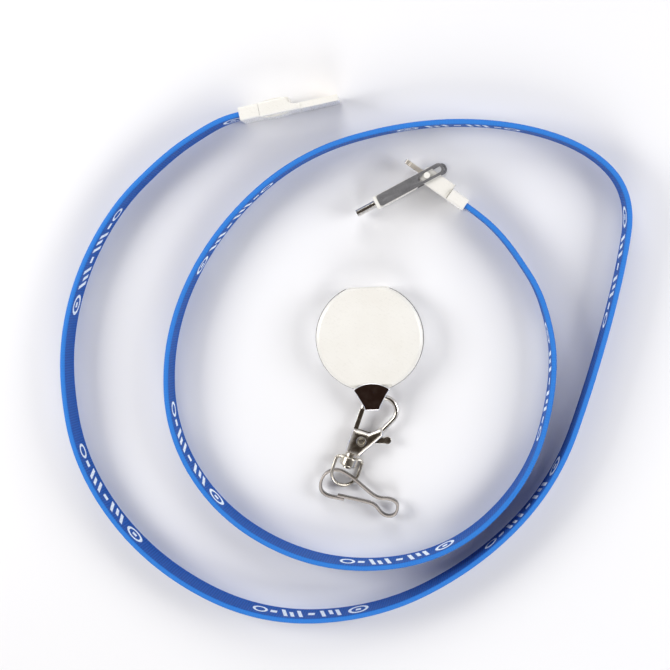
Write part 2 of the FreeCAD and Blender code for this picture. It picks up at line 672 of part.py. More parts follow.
def make_arm():
    """The adapter arm, from the pivot along +X, and the pivot pins it turns on."""
    low, high = S.plate_thick, S.arm_height - S.plate_thick
    pin_long = S.plate_thick + S.head_gap + S.pin_grip - 0.1
    pins = [rod("arm_pin", S.pin_radius, pin_long, 0, 0, start)
            for start in (Size(0.1, "0.1"), S.arm_height - 0.1 - pin_long)]
    node("pivot_pins", fuse("arm_pins", *pins), ARM)

    rivet_places = (S.arm_near + 1.0, S.plate_front - 1.6)
    rivets = []
    for label, base, extra, rivet_low in (
        ("arm_top_plate", high, 0, high - S.rivet_depth),
        ("arm_bottom_plate", 0, S.plate_extra, 0),
    ):
        back = -(S.plate_back + extra)
        half = S.plate_width / 2
        corners = [(back, -half), (S.plate_front, -half), (S.plate_front, half), (back, half)]
        plate = padded(label, "XY_Plane", corners, S.plate_thick, base=base)
        front, rear = S.plate_front.value, back.value
        plate = rounded(label + "_front", plate, 1.0, lambda edge: runs_along("z")(edge)
                        and abs(edge.CenterOfMass.x - front) < 0.01)
        plate = rounded(label + "_back", plate, half.value - 0.3, lambda edge:
                        runs_along("z")(edge) and abs(edge.CenterOfMass.x - rear) < 0.01)
        wide = 2 * (S.pin_radius + S.pin_clear)
        ends = [rod(label + "_slot_end", wide / 2, S.plate_thick + 2, spot, 0, base - 1)
                for spot in (S.slot_front - wide / 2, wide / 2 - S.slot_back - extra)]
        middle = box(label + "_slot", wide / 2 - S.slot_back - extra, -wide / 2, base - 1,
                     S.slot_front + S.slot_back + extra - wide, wide, S.plate_thick + 2)
        holes = [rod(label + "_hole", S.rivet_radius, S.plate_thick + 2, spot, 0, base - 1)
                 for spot in rivet_places]
        node(label, cut(label + "_cut", plate, *ends, middle, *holes), ARM)
        rivets += [rod("arm_rivet", S.rivet_radius, S.plate_thick + S.rivet_depth, spot, 0,
                       rivet_low) for spot in rivet_places]
    node("plate_rivets", fuse("arm_rivets", *rivets), ARM)

    near_x = S.arm_near
    blank = box("arm_blank", near_x, -S.arm_thick / 2, low, S.arm_far - near_x, S.arm_thick,
                high - low)
    inner = near_x.value
    soft = rounded("arm_soft", blank, 1.2, lambda edge: runs_along("z")(edge)
                   and abs(edge.CenterOfMass.x - inner) < 0.01)
    rim_from = S.plate_front + S.dock_clear
    rim = box("arm_end_rim", rim_from, -S.arm_thick / 2, 0, S.arm_far - rim_from, S.arm_thick,
              S.arm_height)
    outer = S.arm_far.value
    rim = rounded("arm_rim_soft", rim, 0.8, lambda edge: abs(edge.CenterOfMass.x - outer) < 0.01)
    inside_wide = S.blade_width + 2 * S.socket_clear
    inside_thick = S.blade_thick + 2 * S.socket_clear
    sleeve = (S.socket_deep, inside_thick + 2 * S.socket_wall, inside_wide + 2 * S.socket_wall)
    room = beam("arm_socket_room", near_x, ARM_MIDDLE, *sleeve)
    oval_from = S.arm_far - S.oval_in
    oval_long = S.oval_in + S.oval_out
    oval_room = obround("arm_oval_room", oval_from, ARM_MIDDLE, oval_long, S.oval_width,
                        S.oval_thick)
    rivet_rooms = [rod("arm_rivet_room", S.rivet_radius, S.rivet_depth + 0.5, spot, 0, start)
                   for spot in rivet_places for start in (high - S.rivet_depth, low - 0.5)]
    solid = fuse("arm_solid", soft, rim)
    node("arm_housing", cut("arm_housing_cut", solid, room, oval_room, *rivet_rooms), ARM)

    hole = beam("arm_socket_hole", near_x - 1, ARM_MIDDLE, S.socket_deep + 0.7, inside_thick,
                inside_wide)
    node("arm_socket", cut("arm_socket_cut", beam("arm_sleeve", near_x, ARM_MIDDLE, *sleeve),
                           hole), ARM)

    inner_wide, inner_thick = S.oval_width - 2 * S.oval_wall, S.oval_thick - 2 * S.oval_wall
    shell = obround("oval_blank", oval_from, ARM_MIDDLE, oval_long, S.oval_width, S.oval_thick)
    bore = obround("oval_bore", oval_from - 1, ARM_MIDDLE, oval_long + 2, inner_wide, inner_thick)
    node("oval_shell", cut("oval_shell_cut", shell, bore), ARM)
    core = obround("oval_core", oval_from, ARM_MIDDLE, oval_long - 0.3, inner_wide, inner_thick)
    mouth_from = S.arm_far + S.oval_out - S.oval_slot_deep
    mouth = beam("oval_mouth", mouth_from, ARM_MIDDLE, S.oval_slot_deep + 1, S.oval_slot_thick,
                 S.oval_slot_wide)
    pads, pockets = [], []
    for side in (-1, 1):
        for place in range(12):
            spot = ARM_MIDDLE + (place - 5.5) * 0.5 - 0.125
            deep = Size(0.12, "0.12")
            start = S.oval_slot_thick / 2 if side > 0 else -S.oval_slot_thick / 2 - deep
            pads.append(box("oval_pad", mouth_from + 0.6, start, spot, 3.6, deep, 0.25))
            pockets.append(box("oval_pocket", mouth_from + 0.6, start, spot, 3.6, deep, 0.25))
    node("oval_insulator", cut("oval_core_cut", core, mouth, fuse("oval_pockets", *pockets)), ARM)
    node("oval_contacts", fuse("oval_pads", *pads), ARM)


def make_dock():
    """Back cover, front cover, rim, mouth block and bail, about the dock's own centre."""
    rim_in = S.dock_radius - S.rim_wall
    cover = S.dock_radius - S.cover_inset
    skirt = rim_in - S.dock_clear
    skirt_in = skirt - S.skirt_wall
    top = S.back_thick + S.socket_height
    split = S.back_thick + S.socket_height / 2
    edge_top = top + S.front_thick
    block_half = S.mouth_width / 2 + S.mouth_wall
    block_front = MOUTH_FLAT - 0.2
    block_back = block_front - S.mouth_deep - S.mouth_wall

    def mouth_space(label, low, high, half, back):
        return box(label, -half, back, low, 2 * half, S.dock_radius, high - low)

    back_profile = [
        (0, 0), (cover - 1.0, 0), (cover - 0.3, 0.3), (cover, 1.0), (cover, S.back_thick),
        (skirt, S.back_thick), (skirt, split), (skirt_in, split), (skirt_in, S.back_thick),
        (0, S.back_thick),
    ]
    back = spun("dock_back", back_profile)
    flat = box("dock_back_flat", -S.dock_radius, MOUTH_FLAT, -1, 2 * S.dock_radius,
               S.dock_radius, S.arm_height + 2)
    room = mouth_space("dock_back_room", S.back_thick, split + 1, block_half + S.dock_clear,
                       block_back - S.dock_clear)
    tang_top = S.bail_low + S.bail_sheet
    tang_room = box("dock_tang_room", -(S.tang_half + S.dock_clear), -S.dock_radius - 1, -1,
                    2 * (S.tang_half + S.dock_clear), S.dock_radius + 1 - TANG_START
                    + S.dock_clear, tang_top + 1)
    node("dock_back_cover", cut("dock_back_cut", back, flat, room, tang_room), DOCK)

    crown = edge_top + S.dome_rise
    front_profile = [
        (0, top), (skirt_in, top), (skirt_in, split + S.dock_clear),
        (skirt, split + S.dock_clear), (skirt, top), (cover, top), (cover, edge_top - 0.7),
        (cover - 0.35, edge_top - 0.15), (cover - 1.2, edge_top + 0.2),
        (cover * 0.72, crown - 0.2), (cover * 0.4, crown - 0.03), (0, crown),
    ]
    front = spun("dock_front", front_profile)
    flat = box("dock_front_flat", -S.dock_radius, MOUTH_FLAT, 0, 2 * S.dock_radius,
               S.dock_radius, S.arm_height)
    room = mouth_space("dock_front_room", split - 1, top, block_half + S.dock_clear,
                       block_back - S.dock_clear)
    bail_room = box("dock_bail_room", -(S.bail_top + 1), -S.dock_radius - 1,
                    edge_top - S.bail_sheet / 2, 2 * (S.bail_top + 1),
                    S.dock_radius + 1 - BAIL_START + S.dock_clear, S.bail_sheet + 2)
    node("dock_front_cover", cut("dock_front_cut", front, flat, room, bail_room), DOCK)

    rim = cut("dock_rim_ring", rod("dock_rim_blank", S.dock_radius, S.socket_height, 0, 0,
                                   S.back_thick),
              rod("dock_rim_bore", rim_in, S.socket_height + 2, 0, 0, S.back_thick - 1))
    gate = mouth_space("dock_rim_gate", S.back_thick - 1, top + 1, block_half + S.dock_clear,
                       Size(0, "0"))
    node("dock_rim", cut("dock_rim_cut", rim, gate), DOCK)

    block = box("dock_block", -block_half, block_back, S.back_thick, 2 * block_half,
                block_front - block_back, S.socket_height)
    mouth_low = S.back_thick + (S.socket_height - S.mouth_height) / 2
    mouth = box("dock_mouth", -S.mouth_width / 2, block_front - S.mouth_deep, mouth_low,
                S.mouth_width, S.mouth_deep + 1, S.mouth_height)
    node("dock_socket", cut("dock_socket_cut", block, mouth), DOCK)

    plate_low = edge_top - S.bail_sheet / 2
    shoulder, waist = -(BAIL_START + 1.6), -(BAIL_START + BAIL_END) / 2
    fan = [(-S.bail_foot, -BAIL_END), (S.bail_foot, -BAIL_END), (S.bail_waist, waist),
           (S.bail_top, shoulder), (S.bail_top / 2, -(BAIL_START + 0.4)), (0, -BAIL_START),
           (-S.bail_top / 2, -(BAIL_START + 0.4)), (-S.bail_top, shoulder),
           (-S.bail_waist, waist)]
    fan_plate = padded("bail_fan", "XY_Plane", fan, S.bail_sheet, base=plate_low)
    foot = box("bail_foot_bar", -S.bail_foot, -BAIL_END, S.bail_low, 2 * S.bail_foot,
               S.bail_sheet, plate_low + S.bail_sheet - S.bail_low)
    tang = box("bail_tang", -S.bail_foot, -BAIL_END, S.bail_low, 2 * S.bail_foot,
               BAIL_END - TANG_START, S.bail_sheet)
    node("dock_bail", fuse("bail_whole", fan_plate, foot, tang), DOCK)


def clasp_path():
    """The ring's middle line: up the right side, round the top and down to the nose."""
    radius = S.ring_radius.value
    centre = V(S.ring_x.value, S.ring_y.value, 0)

    def on_ring(angle):
        return centre + V(math.cos(math.radians(angle)), math.sin(math.radians(angle)), 0) * radius

    def heading(angle):
        return V(-math.sin(math.radians(angle)), math.cos(math.radians(angle)), 0)

    first, last = -25, 125
    foot = on_ring(first) - heading(first) * 6.5
    gate_x = S.gate_x.value
    slope = heading(last)
    corner = on_ring(last) + slope * ((gate_x - on_ring(last).x) / slope.x)
    down = V(gate_x, S.gate_reach.value - 1.5, 0)
    bend = 1.6
    turn = slope.getAngle(down - corner)
    reach = bend * math.tan(turn / 2)
    bend_start = corner - slope * reach
    bend_end = corner + (down - corner).normalize() * reach
    bend_centre = bend_start + V(-slope.y, slope.x, 0) * bend
    bend_middle = bend_centre + (corner - bend_centre).normalize() * bend
    return Part.Wire([
        Part.LineSegment(foot, on_ring(first)).toShape(),
        Part.Arc(on_ring(first), on_ring((first + last) / 2), on_ring(last)).toShape(),
        Part.LineSegment(on_ring(last), bend_start).toShape(),
        Part.Arc(bend_start, bend_middle, bend_end).toShape(),
        Part.LineSegment(bend_end, down).toShape(),
    ])


def swept(wire, radius):
    """A round wire along a path that starts at the path's first point."""
    start = wire.Edges[0]
    spot, way = start.Vertexes[0].Point, start.tangentAt(start.FirstParameter)
    section = Part.Wire([Part.Circle(spot, way, radius).toShape()])
    return wire.makePipeShell([section], True, True)


def make_clasp():
    """The clasp body, gate, rivet, spring and swivel stud, about the rivet."""
    middle, half = S.clasp_z.value, S.clasp_thick.value / 2
    neck = -S.neck_end.value
    outline_points = [(-4.2, neck), (1.0, neck), (6.6, 4.4), (6.1, 6.2), (4.7, 6.4), (1.6, 3.5),
                      (-4.2, 3.5)]
    plate = Part.Face(Part.makePolygon([V(x, y, 0) for x, y in outline_points + [(-4.2, neck)]]))
    plate = plate.extrude(V(0, 0, 2 * half)).translated(V(0, 0, middle - half))
    upright = [edge for edge in plate.Edges if runs_along("z")(edge)]
    plate = plate.makeFillet(0.7, upright)
    rims = [edge for edge in plate.Edges if not runs_along("z")(edge)]
    plate = plate.makeChamfer(0.35, rims)
    ring = swept(clasp_path(), S.ring_wire.value).translated(V(0, 0, middle))
    reach = S.gate_reach.value + S.gate_gap.value
    nose_clear = Part.makeCylinder(reach, 4, V(0, 0, middle - 2))
    keep_left = Part.makeBox(6, 20, 4, V(-6, 6, middle - 2))
    body = plate.fuse(ring.cut(nose_clear.common(keep_left)))
    slot_half = S.gate_thick.value / 2 + S.gate_clear.value
    slot = Part.makeBox(15, 6.6, 2 * slot_half, V(-5, -2.6, middle - slot_half))
    shank = S.clasp_pin.value
    pin_hole = Part.makeCylinder(shank, 20, V(0, 0, -5))
    stud_x, seat = S.stud_x.value, S.stud_seat.value
    stud_hole = Part.makeCylinder(S.stud_radius.value, seat + 1, V(stud_x, neck - 1, middle),
                                  V(0, 1, 0))
    shape_node("clasp_body", body.cut([slot, pin_hole, stud_hole]), CLASP)

    gate_low = S.clasp_z - S.gate_thick / 2
    hub = rod("gate_hub", S.gate_hub, S.gate_thick, 0, 0, gate_low)
    bar = box("gate_bar", S.gate_x - S.gate_wide / 2, 1.2, gate_low, S.gate_wide, S.gate_reach,
              S.gate_thick)
    link = box("gate_link", S.gate_x - S.gate_wide / 2, 0.4, gate_low, -S.gate_x, 2.6,
               S.gate_thick)
    lever = turned(box("gate_lever", S.lever_turn.sin() * S.lever_wide / 2,
                       -(S.lever_turn.cos() * S.lever_wide / 2), gate_low, S.lever_long,
                       S.lever_wide, S.gate_thick), S.lever_turn)
    thumb = rod("gate_thumb", S.lever_end, S.gate_thick, S.lever_long * S.lever_turn.cos(),
                S.lever_long * S.lever_turn.sin(), gate_low)
    whole = fuse("gate_whole", hub, bar, link, lever, thumb)
    reach_disc = rod("gate_reach_disc", S.gate_reach, S.gate_thick + 2, 0, 0, gate_low - 1)
    trimmed = DOC.addObject("Part::Common", "gate_trimmed")
    trimmed.Base, trimmed.Tool = whole, reach_disc
    bore = rod("gate_bore", S.clasp_pin + 0.05, S.gate_thick + 2, 0, 0, gate_low - 1)
    spring_low = gate_low + S.gate_thick - S.spring_high - 0.1
    well = rod("gate_well", S.spring_outer + 0.05, S.spring_high + 1, 0, 0, spring_low)
    node("clasp_gate", cut("gate_cut", trimmed, bore, well), CLASP)

    body_low, body_high = S.clasp_z - S.clasp_thick / 2, S.clasp_z + S.clasp_thick / 2
    rivet = fuse("clasp_rivet_whole",
                 rod("rivet_shank", S.clasp_pin, S.clasp_thick, 0, 0, body_low),
                 rod("rivet_top", S.clasp_head, S.head_high, 0, 0, body_high),
                 rod("rivet_foot", S.clasp_head, S.head_high, 0, 0, body_low - S.head_high))
    node("clasp_rivet", rivet, CLASP)
    coil = cut("spring_cut", rod("spring_blank", S.spring_outer, S.spring_high, 0, 0,
                                 spring_low + 0.05),
               rod("spring_bore", S.spring_outer - S.spring_wire, S.spring_high + 2, 0, 0,
                   spring_low - 1))
    node("clasp_spring", coil, CLASP)

    collar_end = -(S.neck_end + S.collar_long)
    boss_far = collar_end - 2 * S.boss_play - S.boss_long
    stud = fuse("stud_whole",
                rod("stud_shank", S.stud_radius, S.stud_seat + S.collar_long + S.boss_long
                    + 2 * S.boss_play, S.stud_x, boss_far, S.clasp_z, along="y"),
                rod("stud_collar_disc", S.stud_collar, S.collar_long, S.stud_x, collar_end,
                    S.clasp_z, along="y"),
                rod("stud_peened", S.stud_end, S.stud_end_long, S.stud_x,
                    boss_far - S.stud_end_long, S.clasp_z, along="y"))
    node("swivel_stud", stud, CLASP)


def make_swivel_frame():
    """The D-shaped frame with its boss, turned on the stud so that its left side is high."""
    middle, stud_x = S.clasp_z.value, S.stud_x.value
    boss_near = -(S.neck_end + S.collar_long + S.boss_play).value
    boss_far = boss_near - S.boss_long.value
    half, wire = S.frame_half.value, S.frame_wire.value
    top = boss_near - wire
    low = top - S.frame_side.value
    corner = S.frame_corner.value
    sides = []
    for side in (-1, 1):
        outer = stud_x + side * half
        sides.append((V(outer, low, 0), V(outer, top - corner, 0),
                      V(outer - side * corner * (1 - math.sqrt(0.5)),
                        top - corner * (1 - math.sqrt(0.5)), 0),
                      V(outer - side * corner, top, 0)))
    left, right = sides
    loop = Part.Wire([
        Part.LineSegment(right[3], left[3]).toShape(),
        Part.Arc(left[3], left[2], left[1]).toShape(),
        Part.LineSegment(left[1], left[0]).toShape(),
        Part.Arc(left[0], V(stud_x, low - half, 0), right[0]).toShape(),
        Part.LineSegment(right[0], right[1]).toShape(),
        Part.Arc(right[1], right[2], right[3]).toShape(),
    ])
    ring = swept(loop, wire)
    boss = Part.makeCylinder(S.boss_radius.value, boss_near - boss_far, V(stud_x, boss_far, 0),
                             V(0, 1, 0))
    rims = [edge for edge in boss.Edges if edge.Curve.TypeId == "Part::GeomCircle"]
    boss = boss.makeFillet(0.5, rims)
    bore = Part.makeCylinder(S.stud_radius.value + S.stud_clear.value, 20,
                             V(stud_x, boss_far - 5, 0), V(0, 1, 0))
    frame = ring.fuse(boss).cut(bore)
    frame.rotate(V(stud_x, 0, 0), V(0, 1, 0), S.frame_tilt.value)
    shape_node("swivel_frame", frame.translated(V(0, 0, middle)), CLASP)


def make_hook():
    """The badge hook: one flat strip on edge, its free end lapped over its start."""
    rivet = V(S.clasp_x.value, CLASP_Y.value, 0)
    points = [rivet + V(x, y, 0) for (x, y), _ in HOOK]
    radii = [radius for _, radius in HOOK[1:-1]]
    edges = path_edges(points, radii)
    low = S.hook_low.value
    shape_node("badge_hook", band(edges, S.hook_thick.value, low, low + S.hook_high.value))


def check_and_export():
    """Stop on any failed object, then write each piece to its own file."""
    DOC.recompute()
    for thing in DOC.Objects:
        if "Invalid" in thing.State or "Error" in thing.State:
            raise RuntimeError(f"{thing.Label} failed: {thing.State}")
    for label, thing in NODES.items():
        if thing.Shape.isNull() or not thing.Shape.isValid() or not thing.Shape.Solids:
            raise RuntimeError(f"{label} has no valid solid")
    os.makedirs("parts", exist_ok=True)
    for label, thing in NODES.items():
        thing.Shape.exportStep(f"parts/{label}.step")
        size = thing.Shape.BoundBox
        print(f"{label}: {len(thing.Shape.Solids)} solid(s), {thing.Shape.Volume:.2f} mm3, "
              f"z {size.ZMin:.2f} to {size.ZMax:.2f}")


make_strap()
make_tongue_plug()
make_blade_plug()
make_arm()
make_dock()
make_clasp()
make_swivel_frame()
make_hook()
check_and_export()
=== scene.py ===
"""A flat woven lanyard that is also a charging lead, with its plugs, round dock, clasp and hook.

Everything is in metres. The dock lies on its back at the origin, +Z is up, and the strap lies
on its edge in a loose double loop round it.
"""

import logging
import math
from dataclasses import dataclass, field
from enum import Enum
from typing import Callable, Iterable, Optional, Sequence

import bmesh
import bpy
from mathutils import Matrix, Vector


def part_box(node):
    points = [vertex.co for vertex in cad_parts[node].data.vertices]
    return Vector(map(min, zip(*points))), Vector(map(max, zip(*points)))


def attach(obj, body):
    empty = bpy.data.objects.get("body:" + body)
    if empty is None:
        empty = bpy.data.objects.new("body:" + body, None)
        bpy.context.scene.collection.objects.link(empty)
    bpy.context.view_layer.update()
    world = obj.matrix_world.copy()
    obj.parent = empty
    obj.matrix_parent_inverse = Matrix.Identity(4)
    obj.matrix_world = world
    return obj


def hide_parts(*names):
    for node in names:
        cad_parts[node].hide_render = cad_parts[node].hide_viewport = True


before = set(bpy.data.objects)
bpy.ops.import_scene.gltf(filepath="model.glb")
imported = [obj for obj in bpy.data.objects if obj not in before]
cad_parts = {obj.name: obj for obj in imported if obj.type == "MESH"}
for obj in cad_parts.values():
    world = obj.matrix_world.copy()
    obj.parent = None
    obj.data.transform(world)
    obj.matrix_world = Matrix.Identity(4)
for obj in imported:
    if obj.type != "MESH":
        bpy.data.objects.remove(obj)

LOG = logging.getLogger("lanyard")

MM = 0.001
Colour = tuple[float, float, float]
Point = tuple[float, float, float]


class Grain(Enum):
    """The direction that brushing or drawing marks run along on a metal."""

    ALONG = (24.0, 1.0, 24.0)
    UPRIGHT = (24.0, 24.0, 1.0)


class StrapFace(Enum):
    """The strap's two broad faces as it lies, and where each starts across the UV map."""

    OUTER = 0.1
    INNER = 0.0


# ------------------------------------------------------------------------------ node graphs


class Graph:
    """A material's node tree, with short calls for the nodes that the finishes share."""

    def __init__(self, name: str) -> None:
        """Starts a material with one Principled shader.

        Args:
            name: the material's name.
        """
        self.material = bpy.data.materials.new(name)
        self.material.use_nodes = True
        self.tree = self.material.node_tree
        self.tree.nodes.clear()
        self.out = self.tree.nodes.new("ShaderNodeOutputMaterial")
        self.shader = self.tree.nodes.new("ShaderNodeBsdfPrincipled")
        self.link(self.shader.outputs["BSDF"], self.out.inputs["Surface"])

    def link(self, source: bpy.types.NodeSocket, target: bpy.types.NodeSocket) -> None:
        """Joins an output to an input."""
        self.tree.links.new(source, target)

    def fixed(self, **values: object) -> None:
        """Sets values that are the same all over, on the shader's own sockets.

        Args:
            **values: socket names with _ for spaces, and their values.
        """
        for name, value in values.items():
            self.shader.inputs[name.replace("_", " ")].default_value = value

    def feed(self, name: str, source: bpy.types.NodeSocket) -> None:
        """Links an output to one of the shader's inputs by name."""
        self.link(source, self.shader.inputs[name])

    def spot(self) -> bpy.types.NodeSocket:
        """Returns the Object coordinates, in metres."""
        return self.tree.nodes.new("ShaderNodeTexCoord").outputs["Object"]

    def stretched(self, scale: Sequence[float], turn: float = 0.0) -> bpy.types.NodeSocket:
        """Returns Object coordinates scaled along each axis.

        Args:
            scale: the factor along X, Y and Z.
            turn: degrees about Z before the scaling.

        Returns:
            The mapped vector.
        """
        turned = self.tree.nodes.new("ShaderNodeMapping")
        turned.inputs["Rotation"].default_value = (0, 0, math.radians(turn))
        self.link(self.spot(), turned.inputs["Vector"])
        mapped = self.tree.nodes.new("ShaderNodeMapping")
        mapped.inputs["Scale"].default_value = scale
        self.link(turned.outputs["Vector"], mapped.inputs["Vector"])
        return mapped.outputs["Vector"]

    def noise(self, vector: bpy.types.NodeSocket, scale: float, detail: float = 3.0,
              rough: float = 0.55) -> bpy.types.NodeSocket:
        """Returns a noise's factor.

        Args:
            vector: where the noise is read.
            scale: its scale, in cells per metre.
            detail: octaves.
            rough: how strong the small octaves are.

        Returns:
            The factor, about 0 to 1.
        """
        node = self.tree.nodes.new("ShaderNodeTexNoise")
        node.inputs["Scale"].default_value = scale
        node.inputs["Detail"].default_value = detail
        node.inputs["Roughness"].default_value = rough
        self.link(vector, node.inputs["Vector"])
        return node.outputs["Fac"]

    def cells(self, vector: bpy.types.NodeSocket, scale: float) -> bpy.types.NodeSocket:
        """Returns the distance from the nearest cell's middle, for speckles and pits."""
        node = self.tree.nodes.new("ShaderNodeTexVoronoi")
        node.inputs["Scale"].default_value = scale
        self.link(vector, node.inputs["Vector"])
        return node.outputs["Distance"]

    def maths(self, what: str, *values: object, clamp: bool = False) -> bpy.types.NodeSocket:
        """Returns the result of a Math node.

        Args:
            what: the operation.
            *values: numbers or outputs, one for each input.
            clamp: keeps the result within 0 to 1.

        Returns:
            The value.
        """
        node = self.tree.nodes.new("ShaderNodeMath")
        node.operation = what
        node.use_clamp = clamp
        for socket, value in zip(node.inputs, values):
            if isinstance(value, (int, float)):
                socket.default_value = value
            else:
                self.link(value, socket)
        return node.outputs["Value"]

    def spread(self, value: bpy.types.NodeSocket, low: float, high: float, to_low: float,
               to_high: float) -> bpy.types.NodeSocket:
        """Returns a value carried from one range to another, held at both ends."""
        node = self.tree.nodes.new("ShaderNodeMapRange")
        for name, number in (("From Min", low), ("From Max", high), ("To Min", to_low),
                             ("To Max", to_high)):
            node.inputs[name].default_value = number
        self.link(value, node.inputs["Value"])
        return node.outputs["Result"]

    def blend(self, share: bpy.types.NodeSocket, first: object,
              second: object) -> bpy.types.NodeSocket:
        """Returns a mix of two colours.

        Args:
            share: 0 for the first and 1 for the second.
            first: a colour or an output.
            second: a colour or an output.

        Returns:
            The mixed colour.
        """
        node = self.tree.nodes.new("ShaderNodeMix")
        node.data_type = "RGBA"
        self.link(share, node.inputs["Factor"])
        for name, value in (("A", first), ("B", second)):
            socket = [s for s in node.inputs if s.name == name and s.type == "RGBA"][0]
            if isinstance(value, tuple):
                socket.default_value = (*value, 1.0)
            else:
                self.link(value, socket)
        return [s for s in node.outputs if s.type == "RGBA"][0]

    def bump(self, height: bpy.types.NodeSocket, depth: float, strength: float = 1.0,
             under: Optional[bpy.types.NodeSocket] = None) -> bpy.types.NodeSocket:
        """Returns a bumped normal.

        Args:
            height: the height, 0 to 1.
            depth: metres that one unit of height stands for.
            strength: how much of it shows.
            under: a normal that this one lies on.

        Returns:
            The normal.
        """
        node = self.tree.nodes.new("ShaderNodeBump")
        node.inputs["Distance"].default_value = depth
        node.inputs["Strength"].default_value = strength
        self.link(height, node.inputs["Height"])
        if under is not None:
            self.link(under, node.inputs["Normal"])
        return node.outputs["Normal"]

    def edge_wear(self, radius: float) -> bpy.types.NodeSocket:
        """Returns about 0 on flat faces and more on outside edges."""
        bevel = self.tree.nodes.new("ShaderNodeBevel")
        bevel.inputs["Radius"].default_value = radius
        bevel.samples = 4
        flat = self.tree.nodes.new("ShaderNodeNewGeometry")
        dot = self.tree.nodes.new("ShaderNodeVectorMath")
        dot.operation = "DOT_PRODUCT"
        self.link(bevel.outputs["Normal"], dot.inputs[0])
        self.link(flat.outputs["Normal"], dot.inputs[1])
        return self.spread(dot.outputs["Value"], 0.75, 0.995, 1.0, 0.0)


# ---------------------------------------------------------------------------------- finishes


@dataclass(frozen=True)
class Moulding:
    """Glossy moulded plastic: a faint ripple, a fine polish grain and slight toning."""

    name: str
    colour: Colour
    shade: Colour
    rough: float = 0.28
    ripple: float = 0.000006

    def make(self) -> bpy.types.Material:
        """Builds the material."""
        g = Graph(self.name)
        spot = g.spot()
        toning = g.spread(g.noise(spot, 90.0, 2.0), 0.35, 0.7, 0.0, 1.0)
        g.feed("Base Color", g.blend(toning, self.colour, self.shade))
        polish = g.noise(spot, 1400.0, 4.0, 0.65)
        hairs = g.noise(g.stretched((260.0, 3200.0, 900.0), 31.0), 1.0, 2.0)
        mixed = g.maths("ADD", g.maths("MULTIPLY", polish, 0.6), g.maths("MULTIPLY", hairs, 0.4))
        g.feed("Roughness", g.spread(mixed, 0.3, 0.7, self.rough - 0.04, self.rough + 0.06))
        sink = g.bump(g.noise(spot, 160.0, 2.0), self.ripple)
        g.feed("Normal", g.bump(polish, 0.0000005, 1.0, sink))
        g.fixed(IOR=1.49, Coat_Weight=0.25, Coat_Roughness=0.12)
        return g.material


@dataclass(frozen=True)
class Plated:
    """Polished plating over a casting or a stamping, with fine scratches and worn edges."""

    name: str
    colour: Colour
    worn: Colour
    rough: float = 0.12
    waviness: float = 0.00003

    def make(self) -> bpy.types.Material:
        """Builds the material."""
        g = Graph(self.name)
        spot = g.spot()
        cloud = g.noise(spot, 220.0, 3.0)
        edges = g.edge_wear(0.00025)
        rub = g.maths("MULTIPLY", edges, g.spread(g.noise(spot, 900.0, 3.0), 0.4, 0.65, 0.2, 1.0),
                      clamp=True)
        tone = g.blend(g.spread(cloud, 0.35, 0.7, 0.0, 0.35), self.colour, self.worn)
        g.feed("Base Color", g.blend(rub, tone, self.worn))
        first = g.noise(g.stretched((300.0, 9000.0, 4000.0), 18.0), 1.0, 2.0)
        second = g.noise(g.stretched((8000.0, 350.0, 4000.0), -27.0), 1.0, 2.0)
        marks = g.maths("MAXIMUM", g.spread(first, 0.62, 0.75, 0.0, 1.0),
                        g.spread(second, 0.64, 0.77, 0.0, 1.0))
        haze = g.maths("ADD", g.maths("MULTIPLY", marks, 0.06), g.maths("MULTIPLY", rub, 0.1))
        haze = g.maths("ADD", haze,
                       g.spread(cloud, 0.3, 0.7, self.rough - 0.03, self.rough + 0.05))
        g.feed("Roughness", haze)
        wave = g.bump(g.noise(spot, 420.0, 2.0), self.waviness)
        g.feed("Normal", g.bump(marks, -0.0000015, 1.0, wave))
        g.fixed(Metallic=1.0)
        return g.material


@dataclass(frozen=True)
class Brushed:
    """Bare metal brushed or drawn one way."""

    name: str
    colour: Colour
    dark: Colour
    grain: Grain
    turn: float = 0.0
    rough: float = 0.3

    def make(self) -> bpy.types.Material:
        """Builds the material."""
        g = Graph(self.name)
        stretch = tuple(260.0 * share for share in self.grain.value)
        streak = g.noise(g.stretched(stretch, self.turn), 1.0, 4.0, 0.7)
        cloud = g.noise(g.spot(), 300.0, 3.0)
        edges = g.edge_wear(0.0002)
        tone = g.blend(g.spread(streak, 0.3, 0.7, 0.0, 0.6), self.colour, self.dark)
        g.feed("Base Color", g.blend(g.maths("MULTIPLY", edges, 0.6), tone, self.colour))
        spread = g.maths("ADD", g.maths("MULTIPLY", streak, 0.6), g.maths("MULTIPLY", cloud, 0.4))
        g.feed("Roughness", g.spread(spread, 0.3, 0.7, self.rough - 0.08, self.rough + 0.12))
        g.feed("Normal", g.bump(streak, 0.0000025))
        g.fixed(Metallic=1.0, Anisotropic=0.35)
        return g.material


